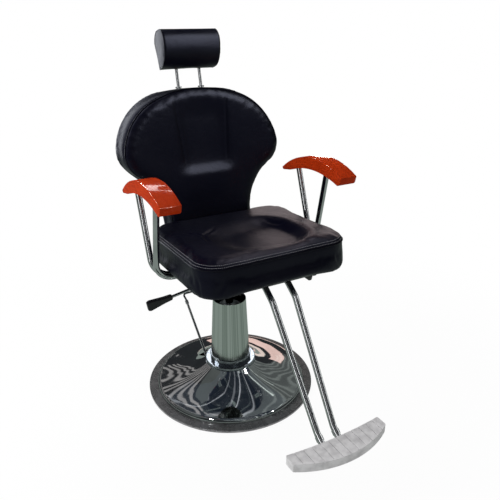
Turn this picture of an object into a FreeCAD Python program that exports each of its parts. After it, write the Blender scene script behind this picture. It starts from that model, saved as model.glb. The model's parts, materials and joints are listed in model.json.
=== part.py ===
"""Hydraulic barber chair with a reclining back, built as separate pieces.

Lengths are in millimetres and angles in degrees. The origin lies on the floor under the middle of the
column, +Z is up, the sitter faces -Y and the sitter's left is +X. The column stands partly raised.
"""
import FreeCAD
import Part
import Sketcher
import math
import os

os.makedirs("parts", exist_ok=True)

Vector = FreeCAD.Vector
Placement = FreeCAD.Placement
Rotation = FreeCAD.Rotation
X_AXIS = Vector(1, 0, 0)
Y_AXIS = Vector(0, 1, 0)
Z_AXIS = Vector(0, 0, 1)
SIDES = (-1, 1)
# A quarter round drawn with one point between its ends: the point's share of the radius
ROUND_SHARE = 0.3

# Driving dimensions: name, size, meaning
SIZES = (
    ("running_gap", 0.05, "radial clearance of a turning or sliding fit"),
    ("fixed_gap", 0.1, "radial clearance of a screw or pin in its fixed hole"),
    # Base
    ("base_radius", 300, "outer radius of the rim ring"),
    ("ring_width", 33, "width of the rim ring"),
    ("ring_height", 10, "height of the rim ring"),
    ("ring_chamfer", 2, "chamfer of the rim ring"),
    ("plate_thickness", 10, "thickness of the base plate"),
    ("plate_gap", 0.5, "gap between the base plate and the rim ring"),
    ("shell_wall", 2, "wall of the base cover"),
    ("shell_edge", 4, "upright edge of the base cover"),
    ("shoulder_radius", 12, "rounding of the base cover's shoulder"),
    ("shoulder_height", 16, "height of the shoulder above the rim ring"),
    ("flare_radius", 260, "hollow sweep of the base cover"),
    ("neck_radius", 92, "outer radius of the base cover's neck"),
    ("neck_height", 92, "height of the base cover's neck"),
    ("lip_width", 12, "width of the lip at the neck"),
    ("neck_ring_radius", 90, "outer radius of the neck ring"),
    ("neck_ring_height", 10, "height of the neck ring"),
    ("neck_ring_bore", 58, "inner radius of the neck ring and the collar ring"),
    ("ring_round", 3, "rounding of the neck ring and the collar ring"),
    ("collar_radius", 74, "outer radius of the collar ring"),
    ("collar_height", 19.6, "height of the collar ring"),
    ("column_foot_radius", 69.7, "outer radius of the column cover at its foot"),
    ("column_top_radius", 58.4, "outer radius of the column cover at its top"),
    ("column_height", 218.4, "height of the column cover"),
    ("column_wall", 1.5, "wall of the column cover"),
    # Hydraulic pump
    ("flange_radius", 60, "radius of the pump flange"),
    ("flange_thickness", 12, "thickness of the pump flange"),
    ("tank_radius", 40, "outer radius of the oil tank"),
    ("tank_wall", 4, "wall of the oil tank"),
    ("tank_height", 274, "height of the oil tank above the flange"),
    ("tank_floor", 6, "thickness of the oil tank's floor"),
    ("sleeve_radius", 24, "outer radius of the pressure tube"),
    ("sleeve_bore", 20, "bore radius of the pressure tube"),
    ("gland_height", 16, "height of the gland nut above the oil tank"),
    ("gland_spigot", 12, "length of the gland nut inside the oil tank"),
    ("seal_depth", 3.5, "radial depth of the rod seal"),
    ("seal_height", 5, "height of the rod seal"),
    ("seal_drop", 5, "metal left above the rod seal"),
    ("rod_radius", 15, "radius of the piston rod"),
    ("piston_bottom", 135, "height of the piston head's lower face"),
    ("piston_height", 20, "height of the piston head"),
    ("piston_groove", 4, "width of the piston head's ring groove"),
    ("base_bolt_circle", 50, "radius of the base bolts' circle"),
    ("base_bolt_radius", 4.8, "radius of the base bolts"),
    ("base_bolt_head", 8.5, "half the width of the base bolts' heads"),
    ("base_bolt_head_height", 6.4, "height of the base bolts' heads"),
    ("base_bolt_count", 4, "number of base bolts"),
    # Foot lever and its pump
    ("lever_pivot_x", -68, "place of the foot lever across the chair"),
    ("lever_pivot_y", 40, "place of the foot lever's pivot behind the column"),
    ("lever_pivot_z", 62, "height of the foot lever's pivot"),
    ("lever_rod_radius", 4.5, "radius of the foot lever"),
    ("lever_eye_radius", 10, "radius of the foot lever's eye"),
    ("lever_eye_width", 12, "width of the foot lever's eye"),
    ("lever_pin_radius", 5, "radius of the foot lever's pin"),
    ("ear_thickness", 5, "thickness of the lever bracket's ears"),
    ("ear_gap", 1, "gap between the eye and each ear"),
    ("ear_radius", 13, "rounding of the lever bracket's ears"),
    ("elbow_x", -50, "place of the foot lever's elbow across the chair"),
    ("elbow_y", 276, "distance of the foot lever's elbow behind the column"),
    ("elbow_z", 205, "height of the foot lever's elbow"),
    ("foot_bar_radius", 3.8, "radius of the foot bar"),
    ("foot_bar_y", 315, "distance of the foot bar behind the column"),
    ("foot_bar_z", 223, "height of the foot bar"),
    ("foot_bar_end", 62, "end of the foot bar across the chair"),
    ("foot_bar_bend", 14, "bend radius of the foot bar"),
    ("foot_bar_joint", 18, "length of the foot bar inside the foot lever"),
    ("ferrule_radius", 6.5, "radius of the ferrule at the elbow"),
    ("ferrule_length", 14, "length of the ferrule at the elbow"),
    ("slot_width", 19, "width of the lever slot in the base cover"),
    ("slot_start", 54, "start of the lever slot behind the column"),
    ("slot_end", 116, "end of the lever slot behind the column"),
    ("plunger_y", 77, "distance of the pump plunger behind the column"),
    ("plunger_radius", 7, "radius of the pump plunger"),
    ("plunger_travel", 15, "room for the pump plunger below it"),
    ("plunger_cap_radius", 9.5, "radius of the pump plunger's cap"),
    ("plunger_cap_height", 4, "height of the pump plunger's cap"),
    ("plunger_cap_gap", 1.2, "gap between the plunger's cap and the foot lever"),
    ("block_width", 34, "width of the pump block"),
    ("block_height", 36, "height of the pump block above the base plate"),
    ("spring_wire", 0.9, "wire radius of the pump spring"),
    ("spring_radius", 8.2, "middle radius of the pump spring's turns"),
    ("spring_turns", 5, "number of turns of the pump spring"),
    ("spring_gap", 0.4, "gap at each end of the pump spring"),
    # Seat carrier
    ("hub_bottom", 452, "height of the swivel hub's lower face"),
    ("hub_radius", 33, "radius of the swivel hub"),
    ("hub_flange_radius", 55, "radius of the swivel hub's flange"),
    ("hub_flange_height", 14, "height of the swivel hub's flange"),
    ("hub_roof", 13, "metal above the piston rod in the swivel hub"),
    ("rod_end_gap", 0.2, "gap above the piston rod in the swivel hub"),
    ("mount_width", 180, "width of the mount plate"),
    ("mount_thickness", 6, "thickness of the mount plate"),
    ("mount_bolt_pitch", 140, "pitch of the mount plate's bolts"),
    ("mount_bolt_radius", 4, "radius of the mount plate's bolts"),
    ("mount_bolt_head", 6.5, "half the width of the mount bolts' heads"),
    ("mount_bolt_head_height", 5.3, "height of the mount bolts' heads"),
    ("frame_half_width", 182, "half width of the seat frame"),
    ("frame_front", -284, "front of the seat frame"),
    ("frame_back", 100, "back of the seat frame"),
    ("frame_bar", 20, "width of the seat frame's bars"),
    ("frame_height", 16, "height of the seat frame"),
    ("frame_wall", 2.5, "wall of the seat frame's bars"),
    ("cross_bar_width", 30, "width of the seat frame's cross bars"),
    ("cross_bar_thickness", 8, "thickness of the seat frame's cross bars"),
    ("front_bar_y", -150, "place of the front cross bar"),
    # Seat
    ("seat_bottom", 545.5, "height of the seat's underside"),
    ("seat_half_width", 250, "half width of the seat"),
    ("seat_front", -350, "front of the seat"),
    ("seat_back", 101, "back of the seat"),
    ("seat_corner", 82, "corner radius of the seat"),
    ("seat_wall_height", 81.5, "height of the seat's wall up to its seam"),
    ("seat_foot_inset", 7, "inset of the seat's wall at its foot"),
    ("seat_foot_rise", 12, "height over which the seat's foot is drawn in"),
    ("seat_seam_inset", 4, "inset of the seat's seam"),
    ("seat_crown", 20, "height of the seat's crown above its seam"),
    ("seat_crown_inset", 46, "inset of the seat's crown"),
    ("seat_dish_inset", 78, "inset of the seat's dish at its rim"),
    ("seat_dish_slope", 46, "width of the slope into the seat's dish"),
    ("seat_slope_angle", 3, "backward slope of the seat cushion"),
    ("seat_least_corner", 8, "least corner radius of the seat's inner loops"),
    ("seat_bay_gap", 18, "gap round the frame and its brackets in the bay under the seat"),
    ("seat_dish_depth", 15, "depth of the seat's dish below its crown"),
    ("board_thickness", 12, "thickness of the seat board"),
    ("board_inset", 18, "inset of the seat board from the seat's outline"),
    # Arms
    ("arm_x", 290.5, "middle of each armrest across the chair"),
    ("arm_width", 61, "width of each armrest"),
    ("arm_front", -250, "front end of the armrest"),
    ("arm_front_top", 794.4, "height of the armrest's front end"),
    ("arm_front_thickness", 19, "height of the armrest's front face"),
    ("arm_top_angle", 65.9, "turn of the armrest's top"),
    ("arm_back", 80, "rear end of the armrest's top"),
    ("arm_back_top", 759.4, "height of the armrest's rear end"),
    ("arm_tip_drop", 8, "height of the armrest's rounded rear tip"),
    ("arm_tip_angle", 90, "turn of the armrest's rear tip"),
    ("arm_nose_rake", 4.75, "rake of the armrest's front face"),
    ("arm_hollow_back", 30, "rear end of the hollow under the armrest"),
    ("arm_hollow_back_z", 759, "height of the hollow's rear end"),
    ("arm_hollow_front", -232, "front end of the hollow under the armrest"),
    ("arm_hollow_front_z", 767.5, "height of the hollow's front end"),
    ("arm_hollow_angle", 40.7, "turn of the hollow under the armrest"),
    ("arm_nose_angle", 57.6, "turn under the armrest's front end"),
    ("arm_edge", 2, "rounding of the armrest's edges"),
    ("arm_tube_radius", 9.5, "radius of the arm tubes"),
    ("arm_tube_wall", 1.5, "wall of the arm tubes"),
    ("arm_tube_bend", 58, "bend radius of the arm tubes"),
    ("arm_tube_z", 515, "height of the arm tubes under the seat"),
    ("arm_tube_inner", 155, "inner end of the arm tubes"),
    ("front_tube_y", -88, "place of the front arm tube under the seat"),
    ("rear_tube_y", -68, "place of the rear arm tube under the seat"),
    ("front_tube_lean", -0.188, "lean of the front arm tube"),
    ("rear_tube_lean", 0.356, "lean of the rear arm tube"),
    ("front_tube_top", 790, "height of the front arm tube's end"),
    ("rear_tube_top", 772, "height of the rear arm tube's end"),
    ("stud_radius", 4, "radius of the studs between tube and wood"),
    ("stud_reach", 14, "length of the studs inside the wood"),
    ("stud_plug", 16, "length of the studs' plugs inside the tubes"),
    ("block_half_length", 22, "half length of the arm clamp blocks"),
    ("block_wall", 6, "wall of the arm clamp blocks"),
    # Backrest, in its own leaning frame: x across, y behind the front seam, z up the back
    ("back_lean_angle", 12, "lean of the backrest"),
    ("back_front_y", 130, "front seam plane of the backrest at its reference height"),
    ("back_reference_z", 600, "reference height of the backrest"),
    ("back_bottom", -45, "lower edge of the backrest"),
    ("back_waist", 153, "half width of the backrest's waist"),
    ("back_corner", 30, "lower corner radius of the backrest"),
    ("back_hollow_radius", 195, "hollow sweep above the waist"),
    ("back_hollow_angle", 58, "turn of the hollow sweep"),
    ("back_sweep_radius", 85, "sweep of the wing"),
    ("back_sweep_angle", 68, "turn of the wing"),
    ("back_shoulder_radius", 205, "sweep of the shoulder"),
    ("back_top_angle", 28, "turn of each half of the top"),
    ("back_rear_rise", 13, "rise of the wings from the front seam to the rear edge"),
    ("back_rear_sweep_radius", 93, "sweep of the wing at the rear edge"),
    ("back_rear_sweep_angle", 70, "turn of the wing at the rear edge"),
    ("back_rear_top_angle", 5, "turn of each half of the top at the rear edge"),
    ("back_wing_angle", 4.8, "forward turn of each half of the backrest"),
    ("back_thickness", 66, "thickness of the backrest behind its front seam"),
    ("back_rear_inset", 4, "inset of the backrest's rear edge"),
    ("back_rear_round", 9, "depth of the rounding at the backrest's rear edge"),
    ("back_side_swell", 1.2, "swell of the backrest's boxing"),
    ("back_front_round", 10, "depth of the rounding behind the front seam"),
    ("back_front_share", 0.5, "share of the rear shape at the rounding behind the front seam"),
    ("back_front_inset", 3, "inset of the backrest's front seam"),
    ("back_least_corner", 4, "least corner radius of the backrest's inner loops"),
    ("back_crown", 14, "crown of the backrest in front of its seam"),
    ("back_crown_inset", 36, "inset of the backrest's crown"),
    ("lumbar_height", 166, "height of the lumbar roll"),
    ("lumbar_radius", 40, "radius of the lumbar roll"),
    ("lumbar_reach", 11, "reach of the lumbar roll in front of the crown"),
    ("lumbar_half_width", 98, "half width of the lumbar roll"),
    ("panel_seam_x", 93, "place of the two upright seams at their upper ends"),
    ("panel_seam_foot", 77, "place of the two upright seams at their lower ends"),
    ("panel_seam_bottom", 200, "lower end of the upright seams"),
    ("panel_seam_top", 400, "upper end of the upright seams"),
    ("panel_seam_radius", 3, "radius of the upright seams' grooves"),
    ("back_board_thickness", 8, "thickness of the back board"),
    ("back_board_inset", 14, "inset of the back board"),
    # Recline joint
    ("hinge_y", 175, "place of the recline hinge behind the column"),
    ("hinge_z", 525, "height of the recline hinge"),
    ("recline_angle", 45, "full recline of the backrest"),
    ("hinge_pin_radius", 6, "radius of the hinge pins"),
    ("hinge_pin_head", 9, "radius of the hinge pins' heads"),
    ("hinge_pin_head_height", 5, "height of the hinge pins' heads"),
    ("back_arm_x", 139, "inner face of each back arm"),
    ("back_arm_thickness", 6, "thickness of the back arms"),
    ("back_arm_radius", 15, "rounding of the back arms at the hinge"),
    ("back_arm_narrow", 1, "amount by which the back arms are narrower above the hinge"),
    ("back_arm_depth", 69, "depth of the back arms' middle line behind the front seam"),
    ("back_arm_top", 200, "upper end of the back arms"),
    ("back_flange_width", 40, "width of the back arms' flanges"),
    ("back_flange_bottom", 20, "lower end of the back arms' flanges"),
    ("hinge_side_gap", 5, "gap between the back arms and the hinge brackets"),
    ("hinge_bracket_thickness", 6, "thickness of the hinge brackets"),
    ("hinge_bracket_radius", 18, "rounding of the hinge brackets"),
    ("hinge_bracket_reach", 50, "length of the hinge brackets along the seat frame"),
    ("hinge_bracket_front", 14.4, "height of the hinge brackets' front end"),
    ("hinge_bracket_belly", 24, "height of the hinge brackets behind the seat frame"),
    ("hinge_neck_radius", 9, "half height of the hinge brackets' necks"),
    ("hinge_neck_drop", 11, "drop of the hinge brackets' necks below the seat frame"),
    ("cross_rod_arm", 60, "distance of the cross rod from the hinge"),
    ("cross_rod_radius", 6, "radius of the cross rod"),
    ("cross_rod_half", 149, "half length of the cross rod"),
    ("back_screw_radius", 3, "radius of the back screws"),
    ("back_screw_head", 6, "radius of the back screws' heads"),
    ("back_screw_head_height", 3, "height of the back screws' heads"),
    ("back_screw_length", 11, "length of the back screws"),
    ("back_screw_x", 116, "place of the back screws"),
    ("back_screw_margin", 18, "distance of the outer back screws from the flanges' ends"),
    # Lockable gas spring
    ("gas_x", -55, "place of the gas spring across the chair"),
    ("gas_front_y", -128, "front eye of the gas spring"),
    ("gas_radius", 11, "radius of the gas spring's cylinder"),
    ("gas_wall", 1.8, "wall of the gas spring's cylinder"),
    ("gas_neck", 16, "length of the gas spring's neck behind its front eye"),
    ("gas_cylinder_back", 60, "back of the gas spring's cylinder"),
    ("gas_gland", 10, "length of the gas spring's end plugs"),
    ("gas_rod_radius", 5, "radius of the gas spring's rod"),
    ("gas_rod_inside", 42, "length of the rod inside the cylinder"),
    ("gas_eye_radius", 8.5, "radius of the gas spring's front eye"),
    ("gas_eye_width", 8, "width of the gas spring's front eye"),
    ("gas_pin_radius", 4, "radius of the gas spring's front pin"),
    ("gas_end_width", 14, "width of the gas rod's slotted end"),
    ("gas_end_wall", 5, "wall of the gas rod's slotted end"),
    ("gas_slot_play", 1, "play of the cross rod in the slotted end"),
    ("gas_bracket_thickness", 4, "thickness of the gas bracket"),
    # Recline release lever
    ("release_x", -100, "place of the release lever's pivot"),
    ("release_z", 509.4, "height of the release lever's pivot"),
    ("release_slope_angle", 9.6, "slope of the release lever"),
    ("release_rod_radius", 4.5, "radius of the release lever"),
    ("release_inner", 50, "length of the release lever inside its pivot"),
    ("release_outer", 196, "length of the release lever outside its pivot"),
    ("release_barrel_radius", 8, "radius of the release lever's barrel"),
    ("release_barrel_length", 14, "length of the release lever's barrel"),
    ("release_pin_radius", 3, "radius of the release lever's pin"),
    ("release_ear", 3, "thickness of the release bracket's ears"),
    ("release_ear_gap", 0.6, "gap between the barrel and each ear"),
    ("release_tab_bottom", 488, "lower end of the tab that presses the valve"),
    ("grip_start", 169, "distance of the grip from the release lever's pivot"),
    ("grip_length", 78, "length of the grip"),
    ("grip_neck", 17, "height of the grip at its inner end"),
    ("grip_waist", 20, "height of the grip at its waist"),
    ("grip_waist_place", 24, "distance of the waist from the grip's inner end"),
    ("grip_paddle", 33, "height of the grip at its outer end"),
    ("grip_paddle_place", 70, "distance of the paddle from the grip's inner end"),
    ("grip_thickness", 15.5, "thickness of the grip"),
    ("grip_lip", 3, "rounding of the grip's ends"),
    ("release_tab_half", 3.6, "half width of the tab that presses the valve"),
    ("grip_corner", 5, "corner radius of the grip"),
    # Headrest, in the backrest's frame
    ("headrest_rod_x", 41.6, "place of the headrest rods"),
    ("headrest_rod_depth", 49.6, "place of the headrest rods behind the front seam"),
    ("headrest_rod_radius", 5, "radius of the headrest rods"),
    ("headrest_rod_bottom", 330, "lower end of the headrest rods"),
    ("headrest_rod_top", 585, "upper end of the headrest rods"),
    ("notch_depth", 1.2, "depth of the detent notches"),
    ("notch_width", 3, "width of the detent notches"),
    ("notch_pitch", 28, "pitch of the detent notches"),
    ("notch_count", 7, "number of detent notches"),
    ("guide_radius", 8, "outer radius of the rod guides"),
    ("guide_bottom", 262, "lower end of the rod guides"),
    ("guide_top", 446, "upper end of the rod guides' tubes"),
    ("guide_collar_radius", 10.5, "radius of the rod guides' collars"),
    ("guide_collar_height", 4, "height of the rod guides' collars"),
    ("headrest_half_width", 100, "half width of the headrest"),
    ("headrest_end_inset", 6, "inset of the headrest's ends"),
    ("headrest_end_round", 7, "length of the headrest's rounded ends"),
    ("headrest_bottom", 506, "lower corner of the headrest"),
    ("headrest_top", 628.5, "top of the headrest"),
    ("headrest_front", -18, "front of the headrest"),
    ("headrest_back", 72, "back of the headrest"),
    ("headrest_heel", 15, "step between the headrest's back and its lower corner"),
    ("headrest_back_height", 590, "height of the headrest's rearmost edge"),
    ("headrest_crown_back", 40, "rear end of the headrest's flat top"),
    ("headrest_crown_front", 10, "front end of the headrest's flat top"),
    ("headrest_nose_height", 575, "height of the headrest's foremost edge"),
    ("headrest_chin", 26, "front end of the headrest's underside"),
    ("headrest_chin_height", 511, "height of the underside's front end"),
    ("headrest_back_angle", 67.6, "turn of the headrest's upper back"),
    ("headrest_front_angle", 84.3, "turn of the headrest's upper front"),
    ("headrest_chin_angle", 65.2, "turn of the headrest's lower front"),
    ("headrest_board_thickness", 6, "thickness of the headrest board"),
    ("headrest_board_bottom", 530, "lower edge of the headrest board"),
    ("headrest_board_top", 598, "upper edge of the headrest board"),
    ("headrest_board_margin", 18, "margin round the headrest board"),
    # Footrest
    ("footrest_pivot_y", -300, "place of the footrest's pivot"),
    ("footrest_pivot_z", 531, "height of the footrest's pivot"),
    ("footrest_shaft_radius", 6, "radius of the footrest shaft"),
    ("footrest_sleeve_radius", 9.5, "outer radius of the footrest sleeve"),
    ("footrest_sleeve_half", 134, "half length of the footrest sleeve"),
    ("footrest_ear_thickness", 6, "thickness of the footrest brackets"),
    ("footrest_ear_gap", 1.5, "gap between the sleeve and each bracket"),
    ("footrest_ear_radius", 12, "rounding of the footrest brackets"),
    ("footrest_tube_radius", 9.5, "radius of the footrest tubes"),
    ("footrest_tube_wall", 1.5, "wall of the footrest tubes"),
    ("footrest_top_x", 38.6, "place of the footrest tubes at their upper bend"),
    ("footrest_foot_x", 27.7, "place of the footrest tubes at the footplate"),
    ("footrest_upper_y", -351.5, "upper bend of the footrest tubes"),
    ("footrest_upper_z", 496, "height of the upper bend"),
    ("footrest_lower_y", -576, "lower bend of the footrest tubes"),
    ("footrest_lower_z", 193, "height of the lower bend"),
    ("footrest_foot_y", -610, "start of the tubes' flat run under the footplate"),
    ("footrest_end_y", -668, "front end of the footrest tubes"),
    ("footrest_bend", 55, "bend radius of the footrest tubes"),
    ("ferrule_start", 9, "distance of the tubes' collars below the lower bend"),
    ("ferrule_span", 14, "length of the tubes' collars"),
    ("ferrule_wall", 1.6, "wall of the tubes' collars"),
    ("footplate_top", 202.5, "height of the footplate's top"),
    ("footplate_thickness", 26, "thickness of the footplate"),
    ("footplate_half_width", 154, "half width of the footplate"),
    ("footplate_back", -613, "back corners of the footplate"),
    ("footplate_back_bow", 9, "bow of the footplate's back edge"),
    ("footplate_front", -648, "front corners of the footplate"),
    ("footplate_front_bow", 43, "bow of the footplate's front edge"),
    ("footplate_corner", 4, "corner rounding of the footplate"),
    ("groove_count", 11, "number of grooves in the footplate"),
    ("groove_pitch", 26, "pitch of the grooves"),
    ("groove_width", 2.4, "width of the grooves"),
    ("groove_depth", 1.8, "depth of the grooves"),
    ("plate_screw_radius", 2.9, "radius of the footplate's screws"),
    ("plate_screw_head", 5, "radius of the footplate's screw heads"),
    ("plate_screw_head_height", 3, "height of the footplate's screw heads"),
    ("plate_screw_reach", 14, "length of the screws inside the footplate"),
    ("plate_screw_front", -656, "front footplate screws"),
    ("plate_screw_rear", -636, "rear footplate screws"),
    # Link between the backrest and the footrest
    ("link_x", 119, "inner face of the link"),
    ("link_thickness", 4, "thickness of the link"),
    ("link_half_height", 8, "half height of the link"),
    ("link_side_gap", 2, "gap beside the link"),
    ("link_pin_radius", 5, "radius of the link's pins"),
    ("link_front_play", 2, "play of the link at the footrest crank"),
    ("link_arm", 23.9, "distance of the link's rear pin from the hinge"),
    ("crank_y", 38, "place of the crank's pin behind the footrest's pivot"),
    ("crank_z", -20, "height of the crank's pin above the footrest's pivot"),
    ("crank_knee", 6, "place of the crank's knee behind the footrest's pivot"),
    ("crank_thickness", 6, "thickness of the crank"),
    ("crank_radius", 8, "rounding of the crank"),
)

doc = FreeCAD.newDocument("barber_chair")
sheet = doc.addObject("Spreadsheet::Sheet", "sizes")
for row, (word, number, meaning) in enumerate(SIZES, start=1):
    sheet.set(f"A{row}", word)
    sheet.set(f"B{row}", str(number))
    sheet.set(f"C{row}", meaning)
    sheet.setAlias(f"B{row}", word)
doc.recompute()


class Size:
    """A number together with the spreadsheet expression that gives it."""

    def __init__(self, value, text):
        self.value = float(value)
        self.text = text

    def __float__(self):
        return self.value

    def _join(self, other, sign, value):
        right = other.text if isinstance(other, Size) else f"({float(other)})"
        return Size(value, f"({self.text} {sign} {right})")

    def _swap(self, other, sign, value):
        return Size(value, f"(({float(other)}) {sign} {self.text})")

    def __add__(self, other):
        return self._join(other, "+", self.value + float(other))

    def __sub__(self, other):
        return self._join(other, "-", self.value - float(other))

    def __mul__(self, other):
        return self._join(other, "*", self.value * float(other))

    def __truediv__(self, other):
        return self._join(other, "/", self.value / float(other))

    def __radd__(self, other):
        return self._swap(other, "+", float(other) + self.value)

    def __rsub__(self, other):
        return self._swap(other, "-", float(other) - self.value)

    def __rmul__(self, other):
        return self._swap(other, "*", float(other) * self.value)

    def __neg__(self):
        return self._swap(0, "-", -self.value)


class SheetSizes:
    """Reads the driving dimensions back from the spreadsheet by name."""

    def __getattr__(self, word):
        return Size(sheet.get(word), f"sizes.{word}")


s = SheetSizes()
pieces = []


def keep(piece):
    """Marks a document object as a finished piece."""
    pieces.append(piece)
    return piece


def bind(owner, path, size):
    """Ties a property to the sheet, or sets it when the size is a plain number."""
    if isinstance(size, Size):
        owner.setExpression(path, size.text)
    else:
        setattr(owner, path, size)


def place(piece, x=0, y=0, z=0, rotation=None):
    """Puts a piece at x, y, z and ties each coordinate that has a size."""
    piece.Placement = Placement(Vector(float(x), float(y), float(z)), rotation or Rotation())
    for letter, size in (("x", x), ("y", y), ("z", z)):
        if isinstance(size, Size):
            piece.setExpression(f"Placement.Base.{letter}", size.text)
    return piece


# Sketches and bodies

def new_body(label):
    body = doc.addObject("PartDesign::Body", label)
    body.Label = label
    return keep(body)


def new_sketch(body, role, name, offset=None):
    """Starts a sketch on one of the body's own origin planes."""
    plane = next(feature for feature in body.Origin.OriginFeatures if feature.Role == role)
    sketch = body.newObject("Sketcher::SketchObject", name)
    sketch.AttachmentSupport = (plane, "")
    sketch.MapMode = "FlatFace"
    if offset is not None:
        sketch.AttachmentOffset = Placement(Vector(0, 0, float(offset)), Rotation())
        if isinstance(offset, Size):
            sketch.setExpression("AttachmentOffset.Base.z", offset.text)
    return sketch


def rule(sketch, kind, *items):
    """Adds a sketch rule whose last item is its size."""
    size = items[-1]
    index = sketch.addConstraint(Sketcher.Constraint(kind, *items[:-1], float(size)))
    if isinstance(size, Size):
        sketch.setExpression(f"Constraints[{index}]", size.text)


def pin_corner(sketch, edge, end, x, y):
    """Ties one end of an edge to x, y from the sketch's origin."""
    for kind, size, axis in (("DistanceX", x, -2), ("DistanceY", y, -1)):
        if not isinstance(size, Size) and size == 0:
            sketch.addConstraint(Sketcher.Constraint("PointOnObject", edge, end, axis))
        else:
            rule(sketch, kind, -1, 1, edge, end, size)


def arc_centre(start, end, radius):
    """Centre of the short arc from start to end, which turns left when radius is positive."""
    chord = end - start
    reach = math.sqrt(max(radius ** 2 - chord.Length ** 2 / 4, 0))
    left = Vector(-chord.y, chord.x, 0).normalize()
    return (start + end) / 2 + left * math.copysign(reach, radius)


def outline(sketch, corners):
    """Draws a closed outline through the corners and ties them to the sheet.

    A corner is (x, y), or (x, y, radius) where the edge that ends there is an arc. The arc turns left
    where its radius is positive and right where it is negative.
    """
    spots = [Vector(float(corner[0]), float(corner[1]), 0) for corner in corners]
    ends = []
    for index, corner in enumerate(corners):
        start = spots[index - 1]
        end = spots[index]
        if len(corner) == 2:
            ends.append((sketch.addGeometry(Part.LineSegment(start, end)), 1, 2))
            continue
        radius = float(corner[2])
        centre = arc_centre(start, end, radius)
        first, last = (start, end) if radius > 0 else (end, start)
        angles = [math.atan2(spot.y - centre.y, spot.x - centre.x) for spot in (first, last)]
        circle = Part.Circle(centre, Z_AXIS, abs(radius))
        edge = sketch.addGeometry(Part.ArcOfCircle(circle, *angles))
        ends.append((edge, 1, 2) if radius > 0 else (edge, 2, 1))
        size = corner[2] if radius > 0 else -corner[2]
        rule(sketch, "Radius", edge, size)
    for index, corner in enumerate(corners):
        edge, _, end = ends[index]
        following, start, _ = ends[(index + 1) % len(ends)]
        sketch.addConstraint(Sketcher.Constraint("Coincident", edge, end, following, start))
        pin_corner(sketch, edge, end, corner[0], corner[1])
    return sketch


def rectangle(sketch, left, bottom, right, top):
    return outline(sketch, ((left, bottom), (right, bottom), (right, top), (left, top)))


def circle(sketch, x, y, radius):
    edge = sketch.addGeometry(Part.Circle(Vector(float(x), float(y), 0), Z_AXIS, float(radius)))
    pin_corner(sketch, edge, 3, x, y)
    rule(sketch, "Radius", edge, radius)
    return sketch


def turned(label, corners, x=0, y=0, z=0):
    """A body of revolution about its own upright axis. Corners are (radius, height)."""
    body = new_body(label)
    sketch = outline(new_sketch(body, "XZ_Plane", label + "_section"), corners)
    turn = body.newObject("PartDesign::Revolution", label + "_turn")
    turn.Profile = sketch
    turn.ReferenceAxis = (sketch, ["V_Axis"])
    turn.Angle = 360
    place(body, x, y, z)
    return body


def pad(body, sketch, length, middle=False):
    feature = body.newObject("PartDesign::Pad", sketch.Name + "_pad")
    feature.Profile = sketch
    bind(feature, "Length", length)
    feature.Midplane = middle
    return feature


def pocket(body, sketch, length, upwards=True):
    """Cuts the sketch into the body, along the sketch's normal where upwards is set."""
    doc.recompute()
    before = body.Shape.Volume
    feature = body.newObject("PartDesign::Pocket", sketch.Name + "_cut")
    feature.Profile = sketch
    bind(feature, "Length", length)
    feature.Reversed = upwards
    doc.recompute()
    if body.Shape.Volume > before - 1e-3:
        raise RuntimeError(f"{feature.Name} cuts nothing")
    return feature


def round_holes(body, name, spots, radius, depth, start=None):
    """Cuts upright round holes, upwards from the height start."""
    sketch = new_sketch(body, "XY_Plane", name, start)
    for x, y in spots:
        circle(sketch, x, y, radius)
    return pocket(body, sketch, depth)


# Solids made with Part's own functions

def side_view(spot2d):
    """Puts a drawing in the YZ plane."""
    return Vector(0, spot2d.x, spot2d.y)


def wire(corners, view):
    """A closed wire through the corners.

    A corner is (x, y), or (x, y, turn) where the edge that ends there is an arc, which turns left by
    that many degrees, or right where the turn is negative.
    """
    spots = [Vector(float(corner[0]), float(corner[1]), 0) for corner in corners]
    edges = []
    for index, corner in enumerate(corners):
        start = spots[index - 1]
        end = spots[index]
        if len(corner) == 2:
            edges.append(Part.LineSegment(view(start), view(end)).toShape())
            continue
        chord = end - start
        right = Vector(chord.y, -chord.x, 0)
        middle = (start + end) / 2 + right * (math.tan(math.radians(float(corner[2])) / 4) / 2)
        edges.append(Part.Arc(view(start), view(middle), view(end)).toShape())
    return Part.Wire(edges)


def inset_wire(closed, inset):
    return closed if inset == 0 else closed.makeOffset2D(-inset)


def shrunk_wire(closed, inset):
    """The wire shrunk about its middle, so that its height loses the inset at both ends."""
    smaller = closed.copy()
    smaller.scale(1 - 2 * inset / closed.BoundBox.ZLength, closed.BoundBox.Center)
    return smaller


def solid(label, shape, placement=None):
    """A piece whose shape is set directly, in the chair's frame or in a frame of its own."""
    feature = doc.addObject("Part::Feature", label)
    feature.Label = label
    feature.Shape = shape
    feature.Placement = placement or Placement()
    return keep(feature)


def spot(x, y, z):
    return Vector(float(x), float(y), float(z))


def box(x0, y0, z0, x1, y1, z1):
    low = spot(x0, y0, z0)
    span = spot(x1, y1, z1) - low
    return Part.makeBox(span.x, span.y, span.z, low)


def rod(start, end, radius):
    """A plain cylinder between two points."""
    span = end - start
    return Part.makeCylinder(float(radius), span.Length, start, span)


def bent_wire(points, bend):
    """Straight runs through the points, joined by arcs of the bend radius."""
    edges = []
    last = points[0]
    for before, corner, after in zip(points, points[1:], points[2:]):
        back = (before - corner).normalize()
        ahead = (after - corner).normalize()
        half_turn = (math.pi - back.getAngle(ahead)) / 2
        reach = bend * math.tan(half_turn)
        start = corner + back * reach
        end = corner + ahead * reach
        middle_reach = bend / math.cos(half_turn) - bend
        middle = corner + (back + ahead).normalize() * middle_reach
        edges.append(Part.LineSegment(last, start).toShape())
        edges.append(Part.Arc(start, middle, end).toShape())
        last = end
    edges.append(Part.LineSegment(last, points[-1]).toShape())
    return Part.Wire(edges)


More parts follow.
